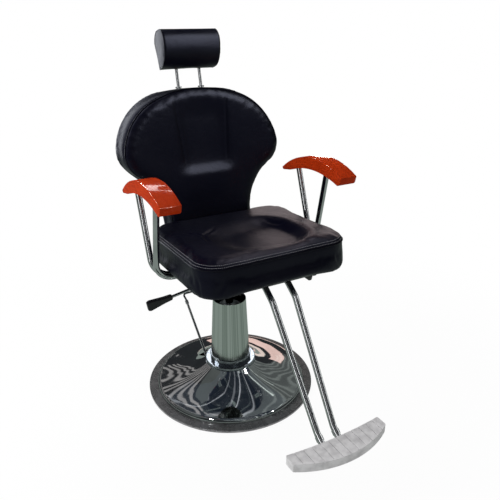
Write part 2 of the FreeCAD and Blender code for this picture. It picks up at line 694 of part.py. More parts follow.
def swept(path, radius):
    """A round bar along a path."""
    start = path.Edges[0]
    direction = start.tangentAt(start.FirstParameter)
    ring = Part.Wire(Part.makeCircle(float(radius), start.valueAt(start.FirstParameter), direction))
    return path.makePipeShell([ring], True, False)


def bent_bar(points, bend, radius, wall=None):
    """A round bar through the points, or a tube where a wall is given."""
    path = bent_wire(points, float(bend))
    bar = swept(path, radius)
    return bar if wall is None else bar.cut(swept(path, float(radius) - float(wall)))


def bar_link(start, end, radius, thickness):
    """A flat bar with round ends in the YZ plane, from start towards +X."""
    radius = float(radius)
    thickness = float(thickness)
    span = end - start
    plate = Part.makeBox(thickness, span.Length, 2 * radius, Vector(0, 0, -radius))
    plate.rotate(Vector(0, 0, 0), X_AXIS, math.degrees(math.atan2(span.z, span.y)))
    plate.translate(start)
    ends = [Part.makeCylinder(radius, thickness, at, X_AXIS) for at in (start, end)]
    return plate.fuse(ends).removeSplitter()


def hex_bolt(radius, length, head, head_height):
    """A bolt that points up, with its head below the origin."""
    corner = float(head) / math.cos(math.pi / 6)
    ring = [Vector(corner * math.cos(a), corner * math.sin(a), 0) for a in
            (math.radians(60 * turn) for turn in range(7))]
    top = Part.Face(Part.makePolygon(ring))
    shank = Part.makeCylinder(float(radius), float(length))
    return top.extrude(Vector(0, 0, -float(head_height))).fuse(shank)


def turtle(start, heading, steps):
    """Edges of a smooth path in the XY plane.

    Each step is (length,) for a straight run, or (radius, turn) for an arc that turns left by that
    many degrees, or right where the turn is negative.
    """
    at = start
    angle = math.radians(heading)
    edges = []
    for step in steps:
        ahead = Vector(math.cos(angle), math.sin(angle), 0)
        if len(step) == 1:
            end = at + ahead * step[0]
            edges.append(Part.LineSegment(at, end).toShape())
        else:
            radius, turn = step
            side = math.copysign(1, turn)
            centre = at + Vector(-ahead.y, ahead.x, 0) * radius * side
            swing = Rotation(Z_AXIS, turn)
            middle = centre + Rotation(Z_AXIS, turn / 2).multVec(at - centre)
            end = centre + swing.multVec(at - centre)
            edges.append(Part.Arc(at, middle, end).toShape())
            angle += math.radians(turn)
        at = end
    return edges, at, math.degrees(angle)


def mirrored_loop(edges):
    """Closes a half outline that starts and ends on the Y axis with its mirror image."""
    half = Part.Wire(edges)
    other = half.mirror(Vector(0, 0, 0), X_AXIS)
    return Part.Wire(Part.__sortEdges__(half.Edges + other.Edges))


def ruled_loft(wires):
    return Part.makeLoft(wires, True, True)


def crown_steps(count=4):
    """Shares of the inset and the height along the quarter ellipse of a cushion's crown."""
    turns = [math.pi / 2 * step / count for step in range(count + 1)]
    return [(1 - math.cos(turn), math.sin(turn)) for turn in turns]


def checked(shape, name):
    """Returns the shape as one sound solid or compound, or stops."""
    if shape.isNull() or not shape.isValid() or shape.Volume < 1:
        raise RuntimeError(f"{name} is not a sound solid")
    return shape


# Base

rim_inner = s.base_radius - s.ring_width
ring_top = s.ring_height
chamfer = s.ring_chamfer
turned("floor_ring", (
    (rim_inner, 0), (s.base_radius - chamfer, 0), (s.base_radius, chamfer),
    (s.base_radius, ring_top - chamfer), (s.base_radius - chamfer, ring_top), (rim_inner, ring_top),
))


def bolt_spots():
    """Places of the base bolts round the pump flange."""
    count = int(float(s.base_bolt_count))
    step = 2 * math.pi / count
    turns = [step * (turn + 0.5) for turn in range(count)]
    return [(s.base_bolt_circle * math.cos(turn), s.base_bolt_circle * math.sin(turn)) for turn in turns]


def make_base_plate():
    body = new_body("base_plate")
    sketch = circle(new_sketch(body, "XY_Plane", "base_plate_disc"), 0, 0, rim_inner - s.plate_gap)
    pad(body, sketch, s.plate_thickness)
    round_holes(body, "base_plate_holes", bolt_spots(), s.base_bolt_radius + s.fixed_gap, s.plate_thickness)


def make_base_cover():
    edge = rim_inner + s.shell_wall
    shoulder = edge - s.shoulder_radius
    shoulder_top = ring_top + s.shoulder_height
    wall = s.shell_wall
    lip = s.neck_radius - s.lip_width
    cover = turned("base_cover", (
        (edge - wall, ring_top), (edge, ring_top), (edge, ring_top + s.shell_edge),
        (shoulder, shoulder_top, s.shoulder_radius),
        (s.neck_radius, s.neck_height, -s.flare_radius),
        (lip, s.neck_height), (lip, s.neck_height - wall), (s.neck_radius - wall, s.neck_height - wall),
        (shoulder, shoulder_top - wall, s.flare_radius),
        (edge - wall, ring_top + s.shell_edge, -(s.shoulder_radius - wall)),
    ))
    slot = new_sketch(cover, "XY_Plane", "lever_slot", ring_top + s.shoulder_height)
    half = s.slot_width / 2
    rectangle(slot, s.lever_pivot_x - half, s.slot_start, s.lever_pivot_x + half, s.slot_end)
    pocket(cover, slot, s.neck_height)


def rounded_ring(label, inner, outer, height, z, base_round=0):
    """A plain ring with rounded outer edges."""
    lower = ((outer, 0),) if not base_round else ((outer - base_round, 0), (outer, base_round, base_round))
    turned(label, (
        (inner, 0), *lower, (outer, height - s.ring_round),
        (outer - s.ring_round, height, s.ring_round), (inner, height),
    ), z=z)


make_base_plate()
make_base_cover()
collar_bottom = s.neck_height + s.neck_ring_height
column_bottom = collar_bottom + s.collar_height
rounded_ring("neck_ring", s.neck_ring_bore, s.neck_ring_radius, s.neck_ring_height, s.neck_height, s.ring_round)
rounded_ring("collar_ring", s.neck_ring_bore, s.collar_radius, s.collar_height, collar_bottom)
turned("column_cover", (
    (s.column_foot_radius - s.column_wall, 0), (s.column_foot_radius, 0),
    (s.column_top_radius, s.column_height), (s.column_top_radius - s.column_wall, s.column_height),
), z=column_bottom)

# Hydraulic pump

flange_top = s.plate_thickness + s.flange_thickness
tank_top = flange_top + s.tank_height
tank_bore = s.tank_radius - s.tank_wall
floor_top = s.plate_thickness + s.tank_floor
gland_bottom = tank_top - s.gland_spigot
gland_top = tank_top + s.gland_height
seal_top = gland_top - s.seal_drop
seal_bottom = seal_top - s.seal_height
rod_hole = s.rod_radius + s.running_gap


def make_pump_cylinder():
    tank = turned("pump_cylinder", (
        (0, s.plate_thickness), (s.flange_radius, s.plate_thickness), (s.flange_radius, flange_top),
        (s.tank_radius, flange_top), (s.tank_radius, tank_top), (tank_bore, tank_top),
        (tank_bore, floor_top), (0, floor_top),
    ))
    hole = s.base_bolt_radius + s.fixed_gap
    round_holes(tank, "flange_holes", bolt_spots(), hole, s.flange_thickness, s.plate_thickness)


def make_base_bolts():
    length = s.plate_thickness + s.flange_thickness - s.plate_gap
    bolt = hex_bolt(s.base_bolt_radius, length, s.base_bolt_head, s.base_bolt_head_height)
    bolt.rotate(Vector(0, 0, 0), X_AXIS, 180)
    bolts = [bolt.translated(spot(x, y, flange_top)) for x, y in bolt_spots()]
    solid("base_bolts", Part.makeCompound(bolts))


make_pump_cylinder()
make_base_bolts()
turned("pressure_tube", (
    (s.sleeve_bore, 0), (s.sleeve_radius, 0),
    (s.sleeve_radius, gland_bottom - floor_top), (s.sleeve_bore, gland_bottom - floor_top),
), z=floor_top)
turned("gland_nut", (
    (rod_hole, gland_bottom), (tank_bore - s.fixed_gap, gland_bottom), (tank_bore - s.fixed_gap, tank_top),
    (s.tank_radius, tank_top), (s.tank_radius, gland_top), (rod_hole, gland_top),
    (rod_hole, seal_top), (rod_hole + s.seal_depth, seal_top), (rod_hole + s.seal_depth, seal_bottom),
    (rod_hole, seal_bottom),
))
turned("rod_seal", (
    (rod_hole, seal_bottom + s.fixed_gap), (rod_hole + s.seal_depth - s.fixed_gap, seal_bottom + s.fixed_gap),
    (rod_hole + s.seal_depth - s.fixed_gap, seal_top - s.fixed_gap), (rod_hole, seal_top - s.fixed_gap),
))

# Piston

piston_top = s.piston_bottom + s.piston_height
mount_top = s.seat_bottom - s.frame_height
mount_bottom = mount_top - s.mount_thickness
rod_top = mount_bottom - s.hub_roof
groove_low = (s.piston_height - s.piston_groove) / 2
piston_radius = s.sleeve_bore - s.running_gap
turned("piston_head", (
    (0, 0), (piston_radius, 0), (piston_radius, groove_low),
    (piston_radius - s.piston_groove, groove_low),
    (piston_radius - s.piston_groove, groove_low + s.piston_groove),
    (piston_radius, groove_low + s.piston_groove), (piston_radius, s.piston_height), (0, s.piston_height),
), z=s.piston_bottom)
piston_rod = keep(doc.addObject("Part::Cylinder", "piston_rod"))
bind(piston_rod, "Radius", s.rod_radius)
bind(piston_rod, "Height", rod_top - piston_top)
place(piston_rod, z=piston_top)

# Foot lever and its pump

pivot = spot(s.lever_pivot_x, s.lever_pivot_y, s.lever_pivot_z)
elbow = spot(s.elbow_x, s.elbow_y, s.elbow_z)
lever_line = (elbow - pivot).normalize()


def lever_height(y):
    """Height of the foot lever's middle line at a distance behind the column."""
    return pivot.z + (float(y) - pivot.y) * lever_line.z / lever_line.y


def make_foot_lever():
    half_eye = float(s.lever_eye_width) / 2
    eye = rod(pivot - X_AXIS * half_eye, pivot + X_AXIS * half_eye, s.lever_eye_radius)
    bar = rod(pivot, elbow, s.lever_rod_radius)
    pin_hole = float(s.lever_pin_radius) + float(s.running_gap)
    bore = rod(pivot - X_AXIS * half_eye * 2, pivot + X_AXIS * half_eye * 2, pin_hole)
    joint = elbow - lever_line * float(s.foot_bar_joint)
    socket = rod(joint, elbow + lever_line, s.foot_bar_radius)
    solid("pump_lever", checked(eye.fuse(bar).cut(bore).cut(socket), "pump_lever"))
    ferrule_start = elbow - lever_line * (float(s.ferrule_length) / 2)
    ferrule_end = elbow + lever_line * (float(s.ferrule_length) / 2)
    ferrule = rod(ferrule_start, ferrule_end, s.ferrule_radius)
    ferrule = ferrule.cut(rod(ferrule_start, elbow, s.lever_rod_radius))
    ferrule = ferrule.cut(rod(elbow, ferrule_end, s.foot_bar_radius))
    solid("lever_ferrule", checked(ferrule, "lever_ferrule"))
    straight_end = elbow + lever_line * (float(s.ferrule_length))
    corner = spot(s.elbow_x, s.foot_bar_y, s.foot_bar_z)
    bar_end = spot(s.foot_bar_end, s.foot_bar_y, s.foot_bar_z)
    foot_bar = bent_bar([joint, straight_end, corner, bar_end], s.foot_bar_bend, s.foot_bar_radius)
    solid("pedal_bar", checked(foot_bar, "pedal_bar"))


def make_lever_bracket():
    half_eye = s.lever_eye_width / 2
    low = s.plate_thickness
    ears = []
    for start in (half_eye + s.ear_gap, -half_eye - s.ear_gap - s.ear_thickness):
        x = s.lever_pivot_x + start
        at = spot(x, s.lever_pivot_y, s.lever_pivot_z)
        ear = Part.makeCylinder(float(s.ear_radius), float(s.ear_thickness), at, X_AXIS)
        foot = box(x, pivot.y - float(s.ear_radius), low, x + s.ear_thickness,
                   pivot.y + float(s.ear_radius), pivot.z)
        ears.append(ear.fuse(foot))
    reach = half_eye + s.ear_gap + s.ear_thickness
    bridge = box(s.lever_pivot_x - reach, pivot.y - float(s.ear_radius), low,
                 s.lever_pivot_x + reach, pivot.y + float(s.ear_radius), low + s.ear_thickness)
    pin_from = pivot - X_AXIS * (float(reach) + float(s.ear_thickness))
    pin_to = pivot + X_AXIS * (float(reach) + float(s.ear_thickness))
    bracket = ears[0].fuse([ears[1], bridge]).removeSplitter()
    bracket = bracket.cut(rod(pin_from, pin_to, s.lever_pin_radius + s.fixed_gap))
    solid("lever_bracket", checked(bracket, "lever_bracket"))
    length = reach * 2 + s.ear_gap * 2
    pin = keep(doc.addObject("Part::Cylinder", "lever_pin"))
    bind(pin, "Radius", s.lever_pin_radius)
    bind(pin, "Height", length)
    place(pin, s.lever_pivot_x - length / 2, s.lever_pivot_y, s.lever_pivot_z, Rotation(Y_AXIS, 90))


def coil_wire(radius, pitch, turns):
    """A helix about the Z axis, built from tangent pairs of arcs, two pairs to a turn."""
    climb = pitch / (2 * math.pi)
    tilt = math.hypot(radius, climb)

    def at(angle):
        return Vector(radius * math.cos(angle), radius * math.sin(angle), climb * angle)

    def along(angle):
        return Vector(-radius * math.sin(angle), radius * math.cos(angle), climb) / tilt

    def arc(start, corner, end):
        cosine = math.sin((start - corner).getAngle(end - corner) / 2)
        middle = (start + corner * (2 * cosine) + end) / (2 + 2 * cosine)
        return Part.Arc(start, middle, end).toShape()

    edges = []
    steps = int(round(turns * 4))
    for step in range(steps):
        first = step * math.pi / 2
        last = first + math.pi / 2
        start, end = at(first), at(last)
        head, tail = along(first), along(last)
        gap = end - start
        square = 2 * head.dot(tail) - 2
        middle_term = -2 * gap.dot(head + tail)
        root = math.sqrt(middle_term ** 2 - 4 * square * gap.dot(gap))
        reach = max((-middle_term - root) / (2 * square), (-middle_term + root) / (2 * square))
        before = start + head * reach
        after = end - tail * reach
        joint = (before + after) / 2
        edges.append(arc(start, before, joint))
        edges.append(arc(joint, after, end))
    return Part.Wire(edges)


def least_gap(path, wire, turns):
    """Least gap between the turns of a coiled wire, measured on points along its path."""
    per_turn = 36
    points = path.discretize(Number=int(turns * per_turn) + 1)
    apart = [first.distanceToPoint(second) for index, first in enumerate(points)
             for second in points[index + per_turn // 2:]]
    return min(apart) - 2 * wire


def make_plunger_pump():
    x = s.lever_pivot_x
    y = s.plunger_y
    half = s.block_width / 2
    bore_radius = s.plunger_radius + s.running_gap
    block_top = s.plate_thickness + s.block_height
    body = new_body("pump_block")
    sketch = rectangle(new_sketch(body, "XY_Plane", "pump_block_base"), -half, -half, half, half)
    pad(body, sketch, s.block_height)
    depth = s.plunger_travel + s.plunger_travel
    round_holes(body, "plunger_bore", ((0, 0),), bore_radius, depth, s.block_height - depth)
    place(body, x, y, s.plate_thickness)
    drop = float(s.lever_rod_radius) / lever_line.y * math.hypot(lever_line.y, lever_line.z)
    slope = lever_line.z / lever_line.y
    cap_top = lever_height(y) - drop - slope * float(s.plunger_cap_radius) - float(s.plunger_cap_gap)
    cap_bottom = cap_top - float(s.plunger_cap_height)
    plunger_bottom = float(block_top) - float(s.plunger_travel)
    stem = rod(spot(x, y, plunger_bottom), spot(x, y, cap_bottom), s.plunger_radius)
    cap = rod(spot(x, y, cap_bottom), spot(x, y, cap_top), s.plunger_cap_radius)
    solid("pump_plunger", checked(stem.fuse(cap), "pump_plunger"))
    wire = float(s.spring_wire)
    free = cap_bottom - float(block_top) - 2 * (wire + float(s.spring_gap))
    path = coil_wire(float(s.spring_radius), free / float(s.spring_turns), float(s.spring_turns))
    print(f"pump_spring: least gap {least_gap(path, wire, float(s.spring_turns)):.2f} mm")
    spring = swept(path, wire)
    low = float(block_top) + wire + float(s.spring_gap)
    solid("pump_spring", checked(spring, "pump_spring"), Placement(spot(x, y, low), Rotation()))


make_foot_lever()
make_lever_bracket()
make_plunger_pump()

# Seat carrier

hub_bore_top = rod_top + s.rod_end_gap
hub_flange_bottom = mount_bottom - s.hub_flange_height
turned("swivel_hub", (
    (rod_hole, s.hub_bottom), (s.hub_radius, s.hub_bottom), (s.hub_radius, hub_flange_bottom),
    (s.hub_flange_radius, mount_bottom - s.mount_thickness), (s.hub_flange_radius, mount_bottom),
    (0, mount_bottom), (0, hub_bore_top), (rod_hole, hub_bore_top),
))
mount_half_pitch = s.mount_bolt_pitch / 2
mount_spots = [(mount_half_pitch * x, mount_half_pitch * y) for x in SIDES for y in SIDES]
mount_hole = s.mount_bolt_radius + s.fixed_gap


def make_mount_plate():
    body = new_body("mount_plate")
    half = s.mount_width / 2
    sketch = rectangle(new_sketch(body, "XY_Plane", "mount_plate_outline"), -half, -half, half, half)
    pad(body, sketch, s.mount_thickness)
    round_holes(body, "mount_holes", mount_spots, mount_hole, s.mount_thickness)
    place(body, z=mount_bottom)
    length = s.mount_thickness + s.cross_bar_thickness
    bolt = hex_bolt(s.mount_bolt_radius, length, s.mount_bolt_head, s.mount_bolt_head_height)
    bolts = [bolt.translated(spot(x, y, mount_bottom)) for x, y in mount_spots]
    solid("plate_bolts", Part.makeCompound(bolts))


def make_seat_frame():
    """A pressed steel ring, open below, with three cross bars."""
    body = new_body("seat_frame")
    half = s.frame_half_width
    ring = new_sketch(body, "XY_Plane", "frame_ring")
    rectangle(ring, -half, s.frame_front, half, s.frame_back)
    inner = half - s.frame_bar
    rectangle(ring, -inner, s.frame_front + s.frame_bar, inner, s.frame_back - s.frame_bar)
    pad(body, ring, s.frame_height)
    wall = s.frame_wall
    channel = new_sketch(body, "XY_Plane", "frame_channel")
    rectangle(channel, -half + wall, s.frame_front + wall, half - wall, s.frame_back - wall)
    rectangle(channel, -inner - wall, s.frame_front + s.frame_bar - wall, inner + wall,
              s.frame_back - s.frame_bar + wall)
    pocket(body, channel, s.frame_height - wall)
    bars = new_sketch(body, "XY_Plane", "frame_cross_bars")
    for y in (s.front_bar_y, -mount_half_pitch, mount_half_pitch):
        rectangle(bars, -inner, y - s.cross_bar_width / 2, inner, y + s.cross_bar_width / 2)
    pad(body, bars, s.cross_bar_thickness)
    round_holes(body, "frame_holes", mount_spots, mount_hole, s.cross_bar_thickness)
    place(body, z=mount_top)


make_mount_plate()
make_seat_frame()

# Seat


def seat_loop(inset, z, slope=0):
    """Outline of the seat, drawn in by the inset, at a height at its front and with a backward slope."""
    inset = float(inset)
    half = float(s.seat_half_width) - inset
    front = float(s.seat_front) + inset
    back = float(s.seat_back) - inset
    radius = max(float(s.seat_corner) - inset, float(s.seat_least_corner))
    steps = ((half - radius,), (radius, 90), (back - front - 2 * radius,), (radius, 90), (half - radius,))
    edges, _, _ = turtle(Vector(0, front, 0), 0, steps)
    loop = mirrored_loop(edges).translated(Vector(0, 0, float(z)))
    loop.rotate(spot(0, s.seat_front, z), X_AXIS, -float(slope))
    return loop


def make_seat():
    """The cushion, which slopes with its side walls, and the level board that it is built on."""
    bottom = float(s.seat_bottom)
    seam = bottom + float(s.seat_wall_height)
    slope = s.seat_slope_angle
    crown = [(s.seat_seam_inset + (s.seat_crown_inset - s.seat_seam_inset) * inward, seam + float(s.seat_crown) * rise)
             for inward, rise in crown_steps()]
    cushion = ruled_loft([
        seat_loop(s.seat_foot_inset, bottom, slope),
        seat_loop(0, bottom + s.seat_foot_rise, slope),
        seat_loop(0, seam - s.seat_foot_rise, slope),
        *[seat_loop(inset, height, slope) for inset, height in crown],
    ])
    top = seam + float(s.seat_crown)
    dish = ruled_loft([
        seat_loop(s.seat_dish_inset + s.seat_dish_slope, top - s.seat_dish_depth, slope),
        seat_loop(s.seat_dish_inset, top, slope),
        seat_loop(s.seat_dish_inset - s.seat_foot_inset, top + s.seat_foot_inset, slope),
    ])
    bay_half = s.frame_half_width + s.seat_bay_gap
    bay_front = s.footrest_pivot_y - s.footrest_ear_radius - s.seat_bay_gap
    bay = box(-bay_half, bay_front, bottom - s.seat_wall_height, bay_half, s.seat_back, bottom)
    board = Part.Face(seat_loop(s.board_inset, bottom)).extrude(spot(0, 0, s.board_thickness))
    solid("seat_cushion", checked(cushion.cut([dish, bay, board]), "seat_cushion"))
    solid("seat_board", checked(board, "seat_board"))


make_seat()

# Arms


def arm_tube_points(side, y, lean, top):
    """Corners of one arm tube, from the wood down and under the seat."""
    x = s.arm_x * side
    rise = top - s.arm_tube_z
    return [spot(x, y + rise * lean, top), spot(x, y, s.arm_tube_z),
            spot(s.arm_tube_inner * side, y, s.arm_tube_z)]


ARM_TUBES = ((s.front_tube_y, s.front_tube_lean, s.front_tube_top),
             (s.rear_tube_y, s.rear_tube_lean, s.rear_tube_top))


def armrest_blank(x):
    """The wood of one armrest: its side profile, drawn in at both faces."""
    nose_z = s.arm_front_top - s.arm_front_thickness
    profile = wire((
        (s.arm_front, s.arm_front_top, s.arm_top_angle),
        (s.arm_front + s.arm_nose_rake, nose_z),
        (s.arm_hollow_front, s.arm_hollow_front_z, s.arm_nose_angle),
        (s.arm_hollow_back, s.arm_hollow_back_z, -s.arm_hollow_angle),
        (s.arm_back - s.arm_tip_drop, s.arm_back_top - s.arm_tip_drop),
        (s.arm_back, s.arm_back_top, s.arm_tip_angle),
    ), side_view)
    half = float(s.arm_width) / 2
    edge = float(s.arm_edge)
    sections = [(half, edge), (half - edge * ROUND_SHARE, edge * ROUND_SHARE), (half - edge, 0)]
    loops = [inset_wire(profile, inset).translated(Vector(float(x) + reach * side, 0, 0))
             for side, order in ((-1, sections), (1, sections[::-1])) for reach, inset in order]
    return ruled_loft(loops)


def make_arm(side, name):
    """Makes one armrest and its two tubes, and returns the studs that join them."""
    tubes = []
    studs = []
    holes = []
    inner = s.arm_tube_radius - s.arm_tube_wall
    for y, lean, top in ARM_TUBES:
        points = arm_tube_points(side, y, lean, top)
        tubes.append(bent_bar(points, s.arm_tube_bend, s.arm_tube_radius, s.arm_tube_wall))
        down = (points[1] - points[0]).normalize()
        end = points[0]
        stud_end = end - down * float(s.stud_reach)
        plug = rod(end, end + down * float(s.stud_plug), inner - s.fixed_gap)
        studs.append(rod(stud_end, end, s.stud_radius).fuse(plug))
        tube_hole = rod(end, end + down * float(s.arm_width), s.arm_tube_radius + s.fixed_gap)
        stud_hole = rod(stud_end - down * float(s.fixed_gap), end, s.stud_radius + s.fixed_gap)
        holes.append(tube_hole.fuse(stud_hole))
    solid(f"arm_frame_{name}", Part.makeCompound(tubes))
    solid(f"armrest_{name}", checked(armrest_blank(s.arm_x * side).cut(holes), f"armrest_{name}"))
    return studs


def make_arm_clamps():
    """The blocks under the seat that hold the ends of the arm tubes."""
    clamps = []
    radius = s.arm_tube_radius + s.fixed_gap
    length = s.block_half_length * 2
    for side in SIDES:
        middle = (s.arm_tube_inner + s.block_half_length - s.block_wall) * side
        start = middle - s.block_half_length
        front = s.front_tube_y - radius - s.block_wall
        back = s.rear_tube_y + radius + s.block_wall
        block = box(start, front, s.arm_tube_z - radius - s.block_wall, start + length, back, mount_top)
        ends = [spot(start, y, s.arm_tube_z) for y in (s.front_tube_y, s.rear_tube_y)]
        clamps.append(block.cut(bar_link(*ends, radius, length)))
    solid("arm_clamps", Part.makeCompound(clamps))


arm_studs = [stud for side, name in zip(SIDES, ("right", "left")) for stud in make_arm(side, name)]
solid("arm_studs", Part.makeCompound(arm_studs))
make_arm_clamps()

# Backrest, built in its leaning frame: x across, y backwards, z up the back

BACK = Placement(spot(0, s.back_front_y, s.back_reference_z), Rotation(X_AXIS, -float(s.back_lean_angle)))
hinge = spot(0, s.hinge_y, s.hinge_z)
half_recline = math.radians(float(s.recline_angle) / 2)


def about_hinge(reach):
    """A point on the back arms' lower line, halfway back from straight down at rest."""
    return hinge + Vector(0, math.sin(half_recline), -math.cos(half_recline)) * float(reach)


def in_back(point):
    """The same point in the backrest's frame."""
    return BACK.inverse().multVec(point)


def back_loop(inset, depth, rear=0.0):
    """Outline of the backrest, drawn in by the inset, at a depth behind its front seam.

    The wings are higher and rounder at the rear: rear is the share of that shape, from 0 to 1.
    """
    def between(front_size, rear_size):
        return float(front_size) + (float(rear_size) - float(front_size)) * rear

    inset = float(inset)
    corner = max(float(s.back_corner) - inset, float(s.back_least_corner))
    bottom = float(s.back_bottom) + inset
    sweep = between(s.back_sweep_angle, s.back_rear_sweep_angle)
    top_angle = between(s.back_top_angle, s.back_rear_top_angle)
    steps = (
        (float(s.back_waist) - inset - corner,),
        (corner, 90),
        (between(0, s.back_rear_rise) - bottom - corner,),
        (float(s.back_hollow_radius) + inset, -float(s.back_hollow_angle)),
        (between(s.back_sweep_radius, s.back_rear_sweep_radius) - inset, sweep),
        (float(s.back_shoulder_radius) - inset, 90 + float(s.back_hollow_angle) - sweep - top_angle),
    )
    edges, at, heading = turtle(Vector(0, bottom, 0), 0, steps)
    top, _, _ = turtle(at, heading, ((at.x / math.sin(math.radians(top_angle)), top_angle),))
    loop = mirrored_loop(edges + top)
    loop.rotate(Vector(0, 0, 0), X_AXIS, 90)
    return loop.translated(Vector(0, float(depth), 0))


def winged(shape):
    """Turns the left half of a flat shape forwards about the middle line, and mirrors it."""
    turned_half = shape.copy()
    turned_half.rotate(Vector(0, 0, 0), Z_AXIS, -float(s.back_wing_angle))
    reach = 1000
    turned_half = turned_half.common(Part.makeBox(reach, 2 * reach, 2 * reach, Vector(0, -reach, -reach)))
    other = turned_half.mirror(Vector(0, 0, 0), X_AXIS)
    if turned_half.BoundBox.XMin > 1:
        return Part.makeCompound([turned_half, other])
    return turned_half.fuse(other).removeSplitter()


def lumbar_roll():
    """The roll across the small of the back, with tapered ends."""
    height = float(s.lumbar_height)
    radius = float(s.lumbar_radius)
    reach = float(s.lumbar_reach)
    taper = radius - reach
    half = float(s.lumbar_half_width)
    at = Vector(0, radius - reach - float(s.back_crown), height)
    middle = Part.makeCylinder(radius, 2 * (half - taper), at - X_AXIS * (half - taper), X_AXIS)
    ends = [Part.makeCone(radius, taper, taper, at + X_AXIS * (half - taper) * side, X_AXIS * side)
            for side in SIDES]
    return middle.fuse(ends)


def upright_seams():
    """The two sewn channels beside the backrest's middle panel."""
    depth = -float(s.back_crown)
    seams = []
    for side in SIDES:
        low = spot(s.panel_seam_foot * side, depth, s.panel_seam_bottom)
        high = spot(s.panel_seam_x * side, depth, s.panel_seam_top)
        seams.append(rod(low, high, s.panel_seam_radius))
    return seams


def guide_shape(radius, side, low, high):
    x = s.headrest_rod_x * side
    return rod(spot(x, s.headrest_rod_depth, low), spot(x, s.headrest_rod_depth, high), radius)


def back_screw_shapes(gap=0.0):
    """Screws from behind through the back arms' flanges, before they are winged."""
    shapes = []
    depth = float(s.back_thickness)
    low = s.back_flange_bottom + s.back_screw_margin
    high = s.back_arm_top - s.back_screw_margin
    for height in (low, (low + high) / 2, high):
        head = spot(s.back_screw_x, depth + float(s.back_arm_thickness), height)
        tip = head - Y_AXIS * float(s.back_screw_length)
        shank = rod(tip, head, float(s.back_screw_radius) + gap)
        shapes.append(shank.fuse(rod(head, head + Y_AXIS * float(s.back_screw_head_height), s.back_screw_head)))
    return shapes


def make_backrest():
    thickness = s.back_thickness
    crown = s.back_crown
    seam = s.back_front_inset
    flat = ruled_loft([
        back_loop(s.back_rear_inset, thickness, 1),
        back_loop(-s.back_side_swell, thickness - s.back_rear_round, 1),
        back_loop(-s.back_side_swell, s.back_front_round, float(s.back_front_share)),
        *[back_loop(seam + (s.back_crown_inset - seam) * inward, -crown * rise) for inward, rise in crown_steps()],
    ])
    board_front = float(thickness - s.back_board_thickness)
    board_face = Part.Face(back_loop(s.back_board_inset, board_front, 1))
    board = board_face.extrude(Y_AXIS * float(s.back_board_thickness))
    board = winged(board)
    guide_end = s.guide_top + s.guide_collar_height
    guide_holes = [guide_shape(s.guide_radius + s.fixed_gap, side, s.guide_bottom, guide_end) for side in SIDES]
    cushion = winged(flat.fuse(lumbar_roll()).cut(upright_seams()))
    solid("back_cushion", checked(cushion.cut(board).cut(guide_holes), "back_cushion"), BACK)
    screws = winged(Part.makeCompound(back_screw_shapes()))
    screw_holes = winged(Part.makeCompound(back_screw_shapes(float(s.fixed_gap))))
    solid("back_board", checked(board.cut(guide_holes).cut(screw_holes), "back_board"), BACK)
    solid("back_screws", screws, BACK)
    guides = []
    bore = s.headrest_rod_radius + s.running_gap
    for side in SIDES:
        tube = guide_shape(s.guide_radius, side, s.guide_bottom, s.guide_top)
        collar = guide_shape(s.guide_collar_radius, side, s.guide_top, guide_end)
        hole = guide_shape(bore, side, s.guide_bottom, guide_end)
        guides.append(tube.fuse(collar).cut(hole))
    solid("rod_guides", Part.makeCompound(guides), BACK)
    return screw_holes


def make_back_arms(screw_holes):
    """Side plates from the hinge up behind the board, with flanges for the screws."""
    pivot_at = in_back(hinge)
    rod_at = in_back(about_hinge(s.cross_rod_arm))
    lug_at = in_back(about_hinge(s.link_arm))
    radius = s.back_arm_radius
    knee = spot(0, s.back_arm_depth, s.back_bottom)
    top = spot(0, s.back_arm_depth, s.back_arm_top)
    flange = box(s.back_arm_x - s.back_flange_width, s.back_thickness, s.back_flange_bottom,
                 s.back_arm_x, s.back_thickness + s.back_arm_thickness, s.back_arm_top)
    flanges = winged(flange).cut(screw_holes)
    arms = []
    for side in SIDES:
        start = s.back_arm_x if side > 0 else -s.back_arm_x - s.back_arm_thickness
        out = Vector(float(start), 0, 0)
        plate = bar_link(out + pivot_at, out + rod_at, radius, s.back_arm_thickness)
        others = [bar_link(out + first, out + last, radius - s.back_arm_narrow, s.back_arm_thickness)
                  for first, last in ((pivot_at, knee), (knee, top))]
        holes = [rod(out + at - X_AXIS, out + at + X_AXIS * float(s.back_arm_thickness + 1), hole)
                 for at, hole in ((pivot_at, s.hinge_pin_radius + s.running_gap),
                                  (rod_at, s.cross_rod_radius + s.fixed_gap))]
        inner = float(start) if side > 0 else float(start + s.back_arm_thickness)
        arm = plate.fuse(others).cut(holes).fuse(nearest(flanges, inner))
        if side > 0:
            lug_end = s.link_x - s.link_side_gap
            lug = rod(lug_at + X_AXIS * float(lug_end), lug_at + X_AXIS * float(s.back_arm_x), s.link_pin_radius)
            head = rod(lug_at + X_AXIS * float(lug_end - s.link_side_gap), lug_at + X_AXIS * float(lug_end),
                       s.link_half_height)
            arm = arm.fuse([lug, head])
        arms.append(checked(arm.removeSplitter(), "back_arms"))
    solid("back_arms", Part.makeCompound(arms), BACK)


def nearest(shape, x):
    """The solid of a compound whose middle is nearest to x."""
    return min(shape.Solids, key=lambda part: abs(part.CenterOfMass.x - x))


back_screw_holes = make_backrest()
make_back_arms(back_screw_holes)
cross_at = about_hinge(s.cross_rod_arm)
cross_half = X_AXIS * float(s.cross_rod_half)
solid("cross_rod", rod(cross_at - cross_half, cross_at + cross_half, s.cross_rod_radius))


